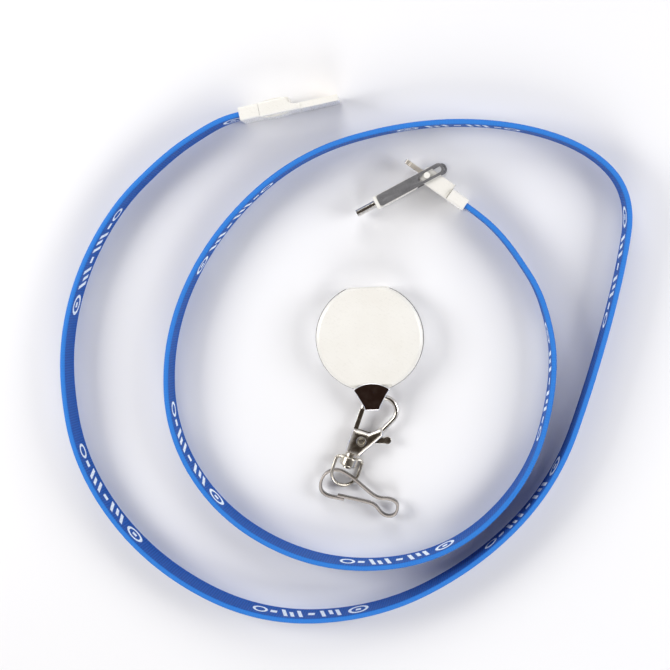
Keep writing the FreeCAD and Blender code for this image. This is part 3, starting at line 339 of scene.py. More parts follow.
@dataclass(frozen=True)
class PaintedReflection:
    """Plated metal with a painted reflection: upward faces and sides get different colours by
    their facing, standing in for the dark overhead and bright surroundings that they mirror.
    """

    name: str
    upward: Colour
    sideways: Colour
    turns: tuple[float, float] = (0.75, 0.97)
    rough: tuple[float, float] = (0.26, 0.22)

    def make(self) -> bpy.types.Material:
        """Builds the material."""
        g = Graph(self.name)
        way = g.tree.nodes.new("ShaderNodeTexCoord")
        split = g.tree.nodes.new("ShaderNodeSeparateXYZ")
        g.tree.links.new(way.outputs["Normal"], split.inputs[0])
        upright = g.maths("ABSOLUTE", split.outputs["Z"], 0.0)
        top = g.spread(upright, *self.turns, 0.0, 1.0)
        cloud = g.noise(g.spot(), 420.0, 3.0)
        grain = g.noise(g.spot(), 5200.0, 2.0)
        # Painted reflection: the facing mask gives faces turned up the upward colour and the sides
        # the sideways colour.
        tone = g.blend(top, self.sideways, self.upward)
        tone = g.blend(g.spread(cloud, 0.4, 0.75, 0.0, 0.3), tone, self.sideways)
        g.feed("Base Color", tone)
        side, extra = self.rough
        g.feed("Roughness", g.maths("ADD", g.maths("MULTIPLY", top, extra),
                                    g.spread(cloud, 0.3, 0.7, side - 0.03, side + 0.04)))
        g.feed("Normal", g.bump(grain, 0.0000012))
        g.fixed(Metallic=1.0)
        return g.material


@dataclass(frozen=True)
class Painted:
    """Satin powder paint: an orange-peel skin with the metal just showing on its edges."""

    name: str
    colour: Colour
    bare: Colour

    def make(self) -> bpy.types.Material:
        """Builds the material."""
        g = Graph(self.name)
        spot = g.spot()
        fleck = g.spread(g.cells(spot, 4200.0), 0.1, 0.6, 0.0, 0.35)
        cloud = g.spread(g.noise(spot, 260.0, 3.0), 0.35, 0.7, 0.0, 0.25)
        chips = g.maths("MULTIPLY", g.edge_wear(0.00018),
                        g.spread(g.noise(spot, 1500.0, 3.0), 0.5, 0.62, 0.0, 1.0), clamp=True)
        tone = g.blend(g.maths("ADD", fleck, cloud, clamp=True), self.colour, self.bare)
        g.feed("Base Color", g.blend(chips, tone, self.bare))
        peel = g.noise(spot, 2600.0, 2.0)
        g.feed("Roughness", g.spread(peel, 0.3, 0.7, 0.34, 0.5))
        g.feed("Normal", g.bump(peel, 0.000006))
        g.fixed(Metallic=0.55, IOR=1.5)
        return g.material


@dataclass(frozen=True)
class Board:
    """A circuit board: mask over copper tracks, with the glass weave faint beneath."""

    name: str
    mask: Colour
    copper: Colour

    def make(self) -> bpy.types.Material:
        """Builds the material."""
        g = Graph(self.name)
        axes = g.tree.nodes.new("ShaderNodeSeparateXYZ")
        g.link(g.spot(), axes.inputs[0])
        weave = g.maths("MULTIPLY",
                        g.maths("SINE", g.maths("MULTIPLY", axes.outputs["X"], 9000.0)),
                        g.maths("SINE", g.maths("MULTIPLY", axes.outputs["Z"], 9000.0)))
        lanes = g.maths("FRACT", g.maths("MULTIPLY", axes.outputs["Z"], 1100.0))
        tracks = g.maths("GREATER_THAN", lanes, 0.62)
        g.feed("Base Color", g.blend(g.maths("MULTIPLY", tracks, 0.55), self.mask, self.copper))
        g.feed("Roughness", g.spread(g.noise(g.spot(), 1800.0), 0.3, 0.7, 0.28, 0.45))
        g.feed("Normal", g.bump(g.maths("ADD", tracks, g.maths("MULTIPLY", weave, 0.1)), 0.00001))
        g.fixed(Coat_Weight=0.4, Coat_Roughness=0.2)
        return g.material


@dataclass(frozen=True)
class Rubbery:
    """A soft insulating jacket with a dull, dusty skin."""

    name: str
    colour: Colour
    dust: Colour

    def make(self) -> bpy.types.Material:
        """Builds the material."""
        g = Graph(self.name)
        spot = g.spot()
        bloom = g.spread(g.noise(spot, 700.0, 4.0), 0.45, 0.75, 0.0, 0.5)
        g.feed("Base Color", g.blend(bloom, self.colour, self.dust))
        g.feed("Roughness", g.spread(g.noise(spot, 2400.0), 0.3, 0.7, 0.5, 0.7))
        g.feed("Normal", g.bump(g.noise(spot, 2400.0, 2.0), 0.00001))
        return g.material


@dataclass(frozen=True)
class Webbing:
    """Woven satin webbing with a firm stitched edge, a pale print on its inner face, painted shade
    in the weave's grooves and a painted highlight along its rounded edges.

    The piece's UV map is in metres: U runs along the strap, and V runs across a face from its
    lower edge, with the outer face a tenth of a metre above the inner one.
    """

    name: str
    # Painted shade colour for the weave's grooves.
    groove_shade: Colour = (0.005, 0.05, 0.28)
    crest: Colour = (0.015, 0.12, 0.48)
    # Painted highlight colour for the strap's rounded edges.
    edge: Colour = (0.04, 0.24, 0.74)
    ink: Colour = (0.85, 0.93, 1.0)
    rib: float = 0.95 * MM
    thread: float = 0.62 * MM
    face_high: float = 12.0 * MM
    print_pitch: float = 90.0 * MM
    print_start: float = 54.0 * MM
    
    def make(self) -> bpy.types.Material:
        """Builds the material."""
        g = Graph(self.name)
        split = g.tree.nodes.new("ShaderNodeSeparateXYZ")
        uv = g.tree.nodes.new("ShaderNodeUVMap")
        uv.uv_map = "Lie"
        g.link(uv.outputs["UV"], split.inputs[0])
        along, raw = split.outputs["X"], split.outputs["Y"]
        outer = g.maths("GREATER_THAN", raw, 0.05)
        across = g.maths("SUBTRACT", raw, g.maths("MULTIPLY", outer, 0.1))
        weave, groove_shade_tone = self._weave(g, along, across)
        edge = g.maths("ABSOLUTE", g.maths("SUBTRACT", across, self.face_high / 2))
        selvedge = g.spread(edge, 4.75 * MM, 5.05 * MM, 0.0, 1.0)
        stitch = g.maths("MULTIPLY", selvedge,
                         g.maths("GREATER_THAN",
                                 g.maths("FRACT", g.maths("MULTIPLY", along, 1 / (1.0 * MM))),
                                 0.45))
        worn = g.spread(g.noise(g.spot(), 45.0, 3.0), 0.35, 0.7, 0.0, 1.0)
        fuzz = g.noise(g.spot(), 5200.0, 2.0)
        # Painted shade: the weave's grooves take the dark groove colour and its crests the crest
        # colour.
        tone = g.blend(groove_shade_tone, self.groove_shade, self.crest)
        tone = g.blend(g.maths("MULTIPLY", worn, 0.18), tone, self.crest)
        tone = g.blend(g.maths("MULTIPLY", stitch, 0.35), tone, self.crest)
        # Painted highlight: the rounded top and bottom edges are lightened toward the edge colour.
        rim = g.spread(edge, 5.2 * MM, 5.7 * MM, 0.0, 1.0)
        tone = g.blend(g.maths("MULTIPLY", rim, 0.75), tone, self.edge)
        ink = g.maths("MULTIPLY", self._marks(g, along, across),
                      g.maths("SUBTRACT", 1.0, outer))
        cover = g.maths("MULTIPLY", ink, g.spread(weave, 0.0, 0.5, 0.72, 1.0))
        g.feed("Base Color", g.blend(cover, tone, self.ink))
        g.feed("Roughness", g.spread(g.maths("ADD", g.maths("MULTIPLY", fuzz, 0.5),
                                             g.maths("MULTIPLY", ink, 0.25)),
                                     0.1, 0.6, 0.52, 0.72))
        lumps = g.maths("ADD", weave, g.maths("MULTIPLY", stitch, 0.8))
        lumps = g.maths("SUBTRACT", lumps, g.maths("MULTIPLY", ink, 0.35))
        lumps = g.maths("MULTIPLY", lumps, g.maths("SUBTRACT", 1.0, g.maths("MULTIPLY", rim, 0.7)))
        body = g.bump(lumps, 0.00009, 0.9)
        g.feed("Normal", g.bump(fuzz, 0.00001, 0.6, body))
        g.fixed(Sheen_Weight=0.06, Sheen_Roughness=0.4, Sheen_Tint=(0.4, 0.65, 1.0, 1.0),
                Specular_IOR_Level=0.15)
        return g.material

    def _weave(self, g: Graph, along: bpy.types.NodeSocket,
               across: bpy.types.NodeSocket) -> tuple[bpy.types.NodeSocket, bpy.types.NodeSocket]:
        """Builds ribs of short threads, each rib half a thread out of step with the next.

        Args:
            g: the material's graph.
            along: metres along the strap.
            across: metres across the face.

        Returns:
            The height, and the painted groove shade as a tone that is low in the grooves, both 0
            to 1.
        """
        leaning = g.maths("ADD", along, g.maths("MULTIPLY", across, 0.06))
        count = g.maths("DIVIDE", leaning, self.rib)
        step = g.maths("MULTIPLY", g.maths("FLOOR", count), 0.5)
        ridge = g.maths("ABSOLUTE", g.maths("SINE", g.maths("MULTIPLY", count, math.pi)))
        turns = g.maths("ADD", g.maths("DIVIDE", across, self.thread), step)
        strand = g.maths("ABSOLUTE", g.maths("SINE", g.maths("MULTIPLY", turns, math.pi)))
        height = g.maths("MULTIPLY", g.maths("POWER", ridge, 0.6), g.maths("POWER", strand, 0.4))
        # Painted shade: the tone follows the weave's height, so the grooves come out darker.
        tone = g.spread(height, 0.25, 0.95, 0.0, 0.9)
        return height, tone

    def _marks(self, g: Graph, along: bpy.types.NodeSocket,
               across: bpy.types.NodeSocket) -> bpy.types.NodeSocket:
        """Prints one plain run of shapes again and again: a ring, then bars and dots.

        Args:
            g: the material's graph.
            along: metres along the strap.
            across: metres across the face.

        Returns:
            1 on the print and 0 off it.
        """
        turns = g.maths("DIVIDE", g.maths("SUBTRACT", along, self.print_start), self.print_pitch)
        there = g.maths("MULTIPLY", g.maths("FRACT", g.maths("ADD", turns, 10.0)),
                        self.print_pitch / MM)
        high = g.maths("SUBTRACT", g.maths("DIVIDE", across, MM), self.face_high / MM / 2)
        shape = None
        for mark in PRINT_RUN:
            drawn = mark.draw(g, there, high)
            shape = drawn if shape is None else g.maths("MAXIMUM", shape, drawn)
        return g.maths("MULTIPLY", shape, 1.0, clamp=True)


@dataclass(frozen=True)
class Ring:
    """A printed ring, in millimetres from the run's start and from the face's middle."""

    at: float
    radius: float
    wide: float

    def draw(self, g: Graph, there: bpy.types.NodeSocket,
             high: bpy.types.NodeSocket) -> bpy.types.NodeSocket:
        """Returns 1 on the ring, fading over a thread's width."""
        off = g.maths("SUBTRACT", there, self.at)
        away = g.maths("SQRT", g.maths("ADD", g.maths("MULTIPLY", off, off),
                                       g.maths("MULTIPLY", high, high)))
        band = g.maths("ABSOLUTE", g.maths("SUBTRACT", away, self.radius))
        return g.spread(band, self.wide / 2 - 0.1, self.wide / 2 + 0.1, 1.0, 0.0)


@dataclass(frozen=True)
class Bar:
    """A printed bar with soft ends, leaning by a share of its height."""

    at: float
    half_wide: float
    half_high: float
    lean: float = 0.0
    lift: float = 0.0

    def draw(self, g: Graph, there: bpy.types.NodeSocket,
             high: bpy.types.NodeSocket) -> bpy.types.NodeSocket:
        """Returns 1 on the bar, fading over a thread's width."""
        level = g.maths("SUBTRACT", high, self.lift)
        off = g.maths("ABSOLUTE", g.maths("SUBTRACT", g.maths("SUBTRACT", there, self.at),
                                          g.maths("MULTIPLY", level, self.lean)))
        side = g.spread(off, self.half_wide - 0.1, self.half_wide + 0.1, 1.0, 0.0)
        tall = g.spread(g.maths("ABSOLUTE", level), self.half_high - 0.1, self.half_high + 0.1,
                        1.0, 0.0)
        return g.maths("MULTIPLY", side, tall)


PRINT_RUN: tuple[Ring | Bar, ...] = (
    Ring(3.4, 2.3, 1.0),
    Bar(8.4, 1.2, 1.2),
    Bar(12.4, 0.7, 3.4, 0.25),
    Bar(15.2, 0.7, 2.4, 0.25, 1.0),
    Bar(18.0, 0.7, 3.4, 0.25),
    Bar(22.2, 1.2, 1.2),
    Bar(26.4, 0.7, 3.4, 0.25),
    Bar(29.2, 0.7, 2.4, 0.25, -1.0),
    Bar(32.0, 0.7, 3.4, 0.25),
    Ring(39.4, 3.2, 1.15),
    Bar(39.4, 0.95, 0.95),
)


# ------------------------------------------------------------------------------ modelling aid


class Bench:
    """Calls that model one mesh with Blender's own tools."""

    @staticmethod
    def clear() -> None:
        """Leaves edit mode with nothing selected."""
        if bpy.context.mode != "OBJECT":
            bpy.ops.object.mode_set(mode="OBJECT")
        bpy.ops.object.select_all(action="DESELECT")

    @staticmethod
    def hold(piece: bpy.types.Object) -> None:
        """Selects one object alone and makes it active."""
        Bench.clear()
        piece.select_set(True)
        bpy.context.view_layer.objects.active = piece

    @staticmethod
    def pick(piece: bpy.types.Object, test: Callable[[Vector, Vector], bool]) -> None:
        """Selects the faces that pass a test, in edit mode.

        Args:
            piece: the object in edit mode.
            test: takes a face's middle and its normal.
        """
        bpy.ops.mesh.select_mode(type="FACE")
        bpy.ops.mesh.select_all(action="DESELECT")
        mesh = bmesh.from_edit_mesh(piece.data)
        for face in mesh.faces:
            if test(face.calc_center_median(), face.normal):
                face.select_set(True)
        bmesh.update_edit_mesh(piece.data)

    @staticmethod
    def settle(piece: bpy.types.Object) -> None:
        """Puts the object's place into its mesh, so that the object sits at the origin."""
        Bench.hold(piece)
        bpy.ops.object.transform_apply(location=True, rotation=True, scale=True)

    @staticmethod
    def modify(piece: bpy.types.Object, kind: str, **settings: object) -> None:
        """Adds one modifier and applies it.

        Args:
            piece: the object.
            kind: the modifier's type.
            **settings: its properties.
        """
        Bench.hold(piece)
        modifier = piece.modifiers.new(kind.title(), kind)
        for name, value in settings.items():
            setattr(modifier, name, value)
        bpy.ops.object.modifier_apply(modifier=modifier.name)

    @staticmethod
    def smooth(piece: bpy.types.Object, degrees: float = 35.0) -> None:
        """Shades smooth, with hard edges kept where faces meet sharply."""
        Bench.hold(piece)
        bpy.ops.object.shade_smooth_by_angle(angle=math.radians(degrees))

    @staticmethod
    def likeness(node: str, name: str, flats: bool = True) -> bpy.types.Object:
        """Copies a frame node's shape into a new merged mesh.

        Args:
            node: the frame node.
            name: the new piece's name.
            flats: whether each flat's triangles become one face.

        Returns:
            The new object, at the origin.
        """
        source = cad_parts[node]
        piece = bpy.data.objects.new(name, source.data.copy())
        bpy.context.scene.collection.objects.link(piece)
        piece.data.materials.clear()
        Bench.hold(piece)
        bpy.ops.object.mode_set(mode="EDIT")
        bpy.ops.mesh.select_all(action="SELECT")
        bpy.ops.mesh.customdata_custom_splitnormals_clear()
        bpy.ops.mesh.remove_doubles(threshold=0.000002)
        if flats:
            bpy.ops.mesh.dissolve_limited(angle_limit=math.radians(0.5))
        bpy.ops.object.mode_set(mode="OBJECT")
        return piece

    @staticmethod
    def wear(piece: bpy.types.Object, material: bpy.types.Material) -> None:
        """Gives a piece one material in place of any it has."""
        piece.data.materials.clear()
        piece.data.materials.append(material)


class Ribbon:
    """A strip of one section that stands on its edge along a smooth line."""

    @staticmethod
    def line(points: Sequence[Vector], fine: int) -> list[Vector]:
        """Reads close points from a smooth spline.

        Args:
            points: the spline's control points.
            fine: points for each run.

        Returns:
            Points in order along the spline.
        """
        curve = bpy.data.curves.new("line", "CURVE")
        curve.dimensions = "3D"
        spline = curve.splines.new("NURBS")
        spline.points.add(len(points) - 1)
        for target, point in zip(spline.points, points):
            target.co = (*point, 1.0)
        spline.order_u = 3
        spline.use_endpoint_u = True
        spline.resolution_u = fine
        holder = bpy.data.objects.new("line", curve)
        bpy.context.scene.collection.objects.link(holder)
        bpy.context.view_layer.update()
        mesh = bpy.data.meshes.new_from_object(holder)
        found = [vertex.co.copy() for vertex in mesh.vertices]
        bpy.data.objects.remove(holder)
        bpy.data.meshes.remove(mesh)
        bpy.data.curves.remove(curve)
        return found

    @staticmethod
    def sweep(name: str, shape: Sequence[tuple[float, float]],
              line: Sequence[Vector]) -> bpy.types.Object:
        """Carries a section along a line, keeping it upright.

        Args:
            name: the piece's name.
            shape: the section's places, as (toward the right of the way, above the line).
            line: the middle line.

        Returns:
            A closed mesh, with a UV map in metres named Lie.
        """
        count, low = len(shape), min(z for _, z in shape)
        mesh = bmesh.new()
        lie = mesh.loops.layers.uv.new("Lie")
        rings, walked, far = [], [], 0.0
        for index, spot in enumerate(line):
            back, fore = line[max(index - 1, 0)], line[min(index + 1, len(line) - 1)]
            way = (fore - back).normalized()
            right = Vector((way.y, -way.x, 0.0))
            if index:
                far += (spot - line[index - 1]).length
            walked.append(far)
            rings.append([mesh.verts.new(spot + right * x + Vector((0, 0, z))) for x, z in shape])
        for index in range(len(rings) - 1):
            for edge in range(count):
                other = (edge + 1) % count
                side = StrapFace.OUTER if shape[edge][0] + shape[other][0] > 0 else StrapFace.INNER
                corners = ((index, edge), (index + 1, edge), (index + 1, other), (index, other))
                face = mesh.faces.new([rings[ring][corner] for ring, corner in corners])
                for loop, (ring, corner) in zip(face.loops, corners):
                    loop[lie].uv = (walked[ring], shape[corner][1] - low + side.value)
        mesh.faces.new(list(rings[0]))
        mesh.faces.new(list(reversed(rings[-1])))
        bmesh.ops.recalc_face_normals(mesh, faces=mesh.faces)
        data = bpy.data.meshes.new(name)
        mesh.to_mesh(data)
        mesh.free()
        piece = bpy.data.objects.new(name, data)
        bpy.context.scene.collection.objects.link(piece)
        Bench.smooth(piece, 50.0)
        return piece


# ------------------------------------------------------------------------------ sub-assemblies


@dataclass
class Strap:
    """The woven strap with the flat cable inside it, standing on its edge."""

    finish: bpy.types.Material
    jacket: bpy.types.Material
    wide: float = 12.0 * MM
    thick: float = 1.8 * MM
    low: float = 0.5 * MM
    core_wide: float = 8.0 * MM
    core_thick: float = 0.8 * MM
    real_length: float = 0.959
    lead: float = 5.0
    start: tuple[float, float, float] = (-44.7, 77.0, 11.6)
    end: tuple[float, float, float] = (32.8, 45.9, 145.0)
    route: tuple[tuple[float, float], ...] = (
        (-58.5, 71.5), (-72, 62.5), (-91, 44), (-105, 17), (-110, -13), (-104, -49),
        (-79, -82), (-40, -102), (3, -99), (39, -79), (65, -50), (77, -13), (86, 24),
        (89, 49), (75, 65), (47, 74), (12, 74), (-26, 63), (-56, 35), (-72, 0), (-71, -37),
        (-50, -67), (-14, -83), (27, -78), (56, -50), (65, -12), (60, 14), (50, 29.5),
        (43.3, 37.6),
    )
    fine: int = 26

    def points(self) -> list[Vector]:
        """Returns the route's points, in metres, from the tongue plug to the blade plug."""
        ends = []
        for x, y, turn in (self.start, self.end):
            way = (math.cos(math.radians(turn)), math.sin(math.radians(turn)))
            ends.append([(x, y), (x - self.lead * way[0], y - self.lead * way[1])])
        flat = [*ends[0], *self.route, ends[1][1], ends[1][0]]
        middle = self.low + self.wide / 2
        return [Vector((x * MM, y * MM, middle)) for x, y in flat]

    def line(self) -> list[Vector]:
        """Returns close points read from one smooth spline through the route."""
        return Ribbon.line(self.points(), self.fine)

    def section(self, wide: float, thick: float) -> list[tuple[float, float]]:
        """Outlines the strap's section: flat faces, full rounded edges and a firm selvedge.

        Args:
            wide: the whole height of the strap on its edge.
            thick: its thickness.

        Returns:
            Places as (toward the outer side, above the middle), in metres, going round.
        """
        half, round_off = thick / 2, thick * 0.42
        rise = wide / 2 - round_off
        side = [(half, -rise), (half, -rise + 0.9 * MM), (half * 0.94, -rise + 1.3 * MM),
                (half * 0.94, 0.0), (half * 0.94, rise - 1.3 * MM), (half, rise - 0.9 * MM),
                (half, rise)]
        cap = []
        for step in (1, 2, 3):
            angle = math.radians(step * 22.5)
            cap.append((half - round_off * (1 - math.cos(angle)),
                        rise + round_off * math.sin(angle)))
        over = cap + [(0.0, wide / 2)] + [(-x, z) for x, z in reversed(cap)]
        under = [(x, -z) for x, z in reversed(over)]
        return side + over + [(-x, z) for x, z in reversed(side)] + under

    def build(self, plugs: Iterable[str]) -> None:
        """Args:
            plugs: not used.
        """
        line = self.line()
        strap = Ribbon.sweep("strap_weave", self.section(self.wide, self.thick), line)
        Bench.wear(strap, self.finish)
        core = Ribbon.sweep("strap_core", self.section(self.core_wide, self.core_thick), line)
        Bench.wear(core, self.jacket)
        for piece, node, slot in ((strap, "strap_webbing", "webbing_blue"),
                                  (core, "cable_core", "cable_core")):
            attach(piece, "lead")
            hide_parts(node)
        [tuple(point) for point in line]
        LOG.info("strap: %d points along it", len(line))


@dataclass
class Metalwork:
    """The bail, clasp, rivet, arm plates and badge hook, with the soft edges of real metal."""

    finishes: dict[str, bpy.types.Material]
    rivet_head: float = 1.75 * MM
    rivet_wall: float = 0.6 * MM
    rivet_shank: float = 0.78 * MM
    rivet_deep: float = 0.6 * MM
    rivet_round: float = 0.16 * MM
    rivet_dish: float = 0.3 * MM
    border: float = 0.42 * MM
    sunk: float = 0.22 * MM
    flat_within: float = 0.05 * MM
    fan_corner: tuple[float, float] = (6.5, -18.0)
    fan_crest: float = -15.7
    fan_side: tuple[tuple[float, float], ...] = ((5.3, -19.8), (4.3, -21.6), (3.4, -23.2),
                                                 (2.9, -24.2), (2.55, -25.4))
    fan_low: float = 8.8
    fan_rise: float = 1.05
    fan_edge: float = 0.46
    bar_edge: float = 0.18 * MM
    foot: tuple[Point, Point] = ((-2.15, -25.4, 0.3), (2.15, -24.6, 9.0))
    tang: tuple[Point, Point] = ((-2.15, -25.4, 0.3), (2.15, -14.6, 1.1))
    dock_turn: float = 2.5
    hook_thick: float = 0.9 * MM
    hook_high: float = 3.0 * MM
    hook_middle: float = 3.6
    hook_path: tuple[tuple[float, float], ...] = (
        (-9.2, -58.3), (-12.4, -57.7), (-15.6, -57.0), (-17.8, -55.0), (-17.5, -51.4),
        (-15.4, -48.4), (-11.8, -47.4), (-8.0, -49.0), (-3.2, -52.9), (1.2, -56.7),
        (4.0, -57.8), (7.0, -57.7), (9.8, -59.0), (10.0, -61.6), (8.9, -63.6), (6.6, -64.2),
        (4.2, -63.2), (2.2, -60.4), (0.2, -59.3), (-5.0, -58.25), (-11.5, -56.9),
    )

    def softened(self, node: str, body: str, finish: str, slot: str, edge: float,
                 steps: int = 2) -> None:
        """Rounds the edges of a piece that keeps the frame's shape.

        Args:
            node: the frame node that it stands for.
            body: the body that it rides on.
            finish: the finish's name.
            slot: the record's material slot.
            edge: the rounding's width, in metres.
            steps: faces across the rounding.
        """
        piece = Bench.likeness(node, node + "_finished")
        Bench.modify(piece, "BEVEL", width=edge, segments=steps, limit_method="ANGLE",
                     angle_limit=math.radians(40.0), use_clamp_overlap=True)
        Bench.smooth(piece, 38.0)
        self.place(piece, node, body, finish, slot)

    def place(self, piece: bpy.types.Object, node: str, body: str, finish: str,
              slot: str) -> None:
        """Dresses a piece and puts it in the frame node's stead.

        Args:
            piece: the finished piece.
            node: the frame node that it stands for.
            body: the body that it rides on.
            finish: the finish's name.
            slot: not used.
        """
        Bench.wear(piece, self.finishes[finish])
        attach(piece, body)
        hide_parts(node)
        LOG.info("%s stands for %s", piece.name, node)

    def slab(self, low: Point, high: Point) -> bpy.types.Object:
        """Makes a bar with softened edges.

        Args:
            low: its lowest corner, in millimetres.
            high: its highest corner, in millimetres.

        Returns:
            The bar, at the origin.
        """
        middle = [(a + b) / 2 * MM for a, b in zip(low, high)]
        Bench.clear()
        bpy.ops.mesh.primitive_cube_add(size=1.0, location=middle)
        piece = bpy.context.object
        piece.scale = [(b - a) * MM for a, b in zip(low, high)]
        Bench.settle(piece)
        Bench.modify(piece, "BEVEL", width=self.bar_edge, segments=3)
        return piece

    def bail(self) -> None:
        """Models the bail: a pressed fan with a rounded rim, its foot and its tang."""
        half, shoulder = self.fan_corner
        rise = self.fan_crest - shoulder
        radius = (half * half + rise * rise) / (2 * rise)
        spread = math.asin(half / radius)
        steps = [spread * (step / 8 - 1) for step in range(17)]
        crest = [(radius * math.sin(turn), self.fan_crest - radius + radius * math.cos(turn))
                 for turn in steps]
        right = list(self.fan_side)
        outline = crest + right + [(-x, y) for x, y in reversed(right)]
        mesh = bpy.data.meshes.new("bail_fan")
        mesh.from_pydata([(x * MM, y * MM, self.fan_low * MM) for x, y in outline], [],
                         [list(range(len(outline)))])
        fan = bpy.data.objects.new("dock_bail_finished", mesh)
        bpy.context.scene.collection.objects.link(fan)
        Bench.hold(fan)
        bpy.ops.object.mode_set(mode="EDIT")
        bpy.ops.mesh.select_all(action="SELECT")
        bpy.ops.mesh.extrude_region_move(
            TRANSFORM_OT_translate={"value": (0, 0, self.fan_rise * MM)})
        bpy.ops.mesh.select_all(action="SELECT")
        bpy.ops.mesh.normals_make_consistent(inside=False)
        bpy.ops.object.mode_set(mode="OBJECT")
        Bench.modify(fan, "BEVEL", width=self.fan_edge * MM, segments=4, limit_method="ANGLE",
                     angle_limit=math.radians(50.0))
        parts = [fan, self.slab(*self.foot), self.slab(*self.tang)]
        Bench.clear()
        for part in parts:
            part.select_set(True)
        bpy.context.view_layer.objects.active = fan
        bpy.ops.object.join()
        fan.data.transform(Matrix.Rotation(math.radians(self.dock_turn), 4, "Z"))
        Bench.smooth(fan, 50.0)
        self.place(fan, "dock_bail", "dock", "bail", "chrome")

    def clasp(self) -> None:
        """Sinks both faces of the clasp's plate inside a raised border."""
        low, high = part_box("clasp_body")
        piece = Bench.likeness("clasp_body", "clasp_body_finished", flats=False)
        Bench.hold(piece)
        bpy.ops.object.mode_set(mode="EDIT")
        for way, level in ((1.0, high.z), (-1.0, low.z)):
            Bench.pick(piece, lambda middle, normal: normal.z * way > 0.99
                       and abs(middle.z - level) < self.flat_within)
            bpy.ops.mesh.inset(thickness=self.border)
            bpy.ops.transform.translate(value=(0, 0, -way * self.sunk))
        bpy.ops.object.mode_set(mode="OBJECT")
        Bench.smooth(piece, 32.0)
        self.place(piece, "clasp_body", "clasp", "plate", "nickel")

    def rivet(self) -> None:
        """Spins the clasp's rivet: a slim shank between two rolled, dished heads."""
        low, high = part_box("clasp_rivet")
        middle, tall = (low + high) / 2, (high.z - low.z) / 2
        lip = self.rivet_head - self.rivet_wall
        half = [(self.rivet_shank, tall - self.rivet_deep),
                (self.rivet_head, tall - self.rivet_deep),
                (self.rivet_head, tall - self.rivet_round),
                (self.rivet_head - self.rivet_round, tall), (lip, tall),
                (lip - self.rivet_dish * 0.6, tall - self.rivet_dish),
                (0.0, tall - self.rivet_dish)]
        profile = [(out, -up) for out, up in reversed(half)] + half
        mesh = bpy.data.meshes.new("rivet")
        mesh.from_pydata([middle + Vector((out, 0, up)) for out, up in profile],
                         [(step, step + 1) for step in range(len(profile) - 1)], [])
        piece = bpy.data.objects.new("clasp_rivet_finished", mesh)
        bpy.context.scene.collection.objects.link(piece)
        Bench.hold(piece)
        bpy.ops.object.mode_set(mode="EDIT")
        bpy.ops.mesh.select_all(action="SELECT")
        bpy.ops.mesh.spin(steps=48, angle=2 * math.pi, center=middle, axis=(0, 0, 1))
        bpy.ops.mesh.select_all(action="SELECT")
        bpy.ops.mesh.remove_doubles(threshold=0.000002)
        bpy.ops.mesh.normals_make_consistent(inside=False)
        bpy.ops.object.mode_set(mode="OBJECT")
        Bench.smooth(piece, 40.0)
        self.place(piece, "clasp_rivet", "clasp", "nickel", "nickel")

    def hook(self) -> None:
        """Bends the badge hook from one strip, its free end lapped beside its start."""
        half, tall, soft = self.hook_thick / 2, self.hook_high / 2, self.hook_thick * 0.3
        corner = [(half - soft * (1 - math.cos(math.radians(turn))),
                   tall - soft * (1 - math.sin(math.radians(turn)))) for turn in (0, 30, 60, 90)]
        over = corner + [(-x, z) for x, z in reversed(corner)]
        shape = over + [(-x, -z) for x, z in over]
        points = [Vector((x * MM, y * MM, self.hook_middle * MM)) for x, y in self.hook_path]
        piece = Ribbon.sweep("badge_hook_finished", shape, Ribbon.line(points, 10))
        self.place(piece, "badge_hook", "hook", "hook", "nickel")

    def build(self) -> None:
        """Builds the metal pieces."""
        self.bail()
        self.clasp()
        self.softened("clasp_gate", "gate", "plate", "nickel", 0.28 * MM, 3)
        self.softened("arm_top_plate", "arm", "grey", "plate_grey", 0.14 * MM)
        self.softened("arm_bottom_plate", "arm", "grey", "plate_grey", 0.14 * MM)
        self.rivet()
        self.hook()


@dataclass
class Hardware:
    """The carried-over nodes and the finish that each one takes."""

    finishes: dict[str, bpy.types.Material]
    nodes: dict[str, tuple[str, ...]] = field(default_factory=lambda: {
        "white": ("tongue_collar", "tongue_housing", "blade_collar", "blade_head", "pivot_pins",
                  "arm_housing", "dock_front_cover", "dock_back_cover", "dock_socket"),
        "gold": ("tongue_contacts", "blade_contacts", "oval_contacts"),
        "board": ("tongue_board", "blade_board"),
        "blade": ("blade_tab",),
        "sleeve": ("arm_socket",),
        "shell": ("oval_shell",),
        "black": ("oval_insulator",),
        "grey": ("arm_top_plate", "arm_bottom_plate", "plate_rivets"),
        "chrome": ("dock_rim",),
        "bail": ("dock_bail",),
        "nickel": ("clasp_body", "clasp_gate", "clasp_rivet", "swivel_stud", "swivel_frame"),
        "hook": ("badge_hook",),
        "spring": ("clasp_spring",),
    })

    def build(self) -> None:
        """Dresses each node."""
        for finish, names in self.nodes.items():
            for name in names:
                Bench.wear(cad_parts[name], self.finishes[finish])
            LOG.info("%s: %s", finish, ", ".join(names))


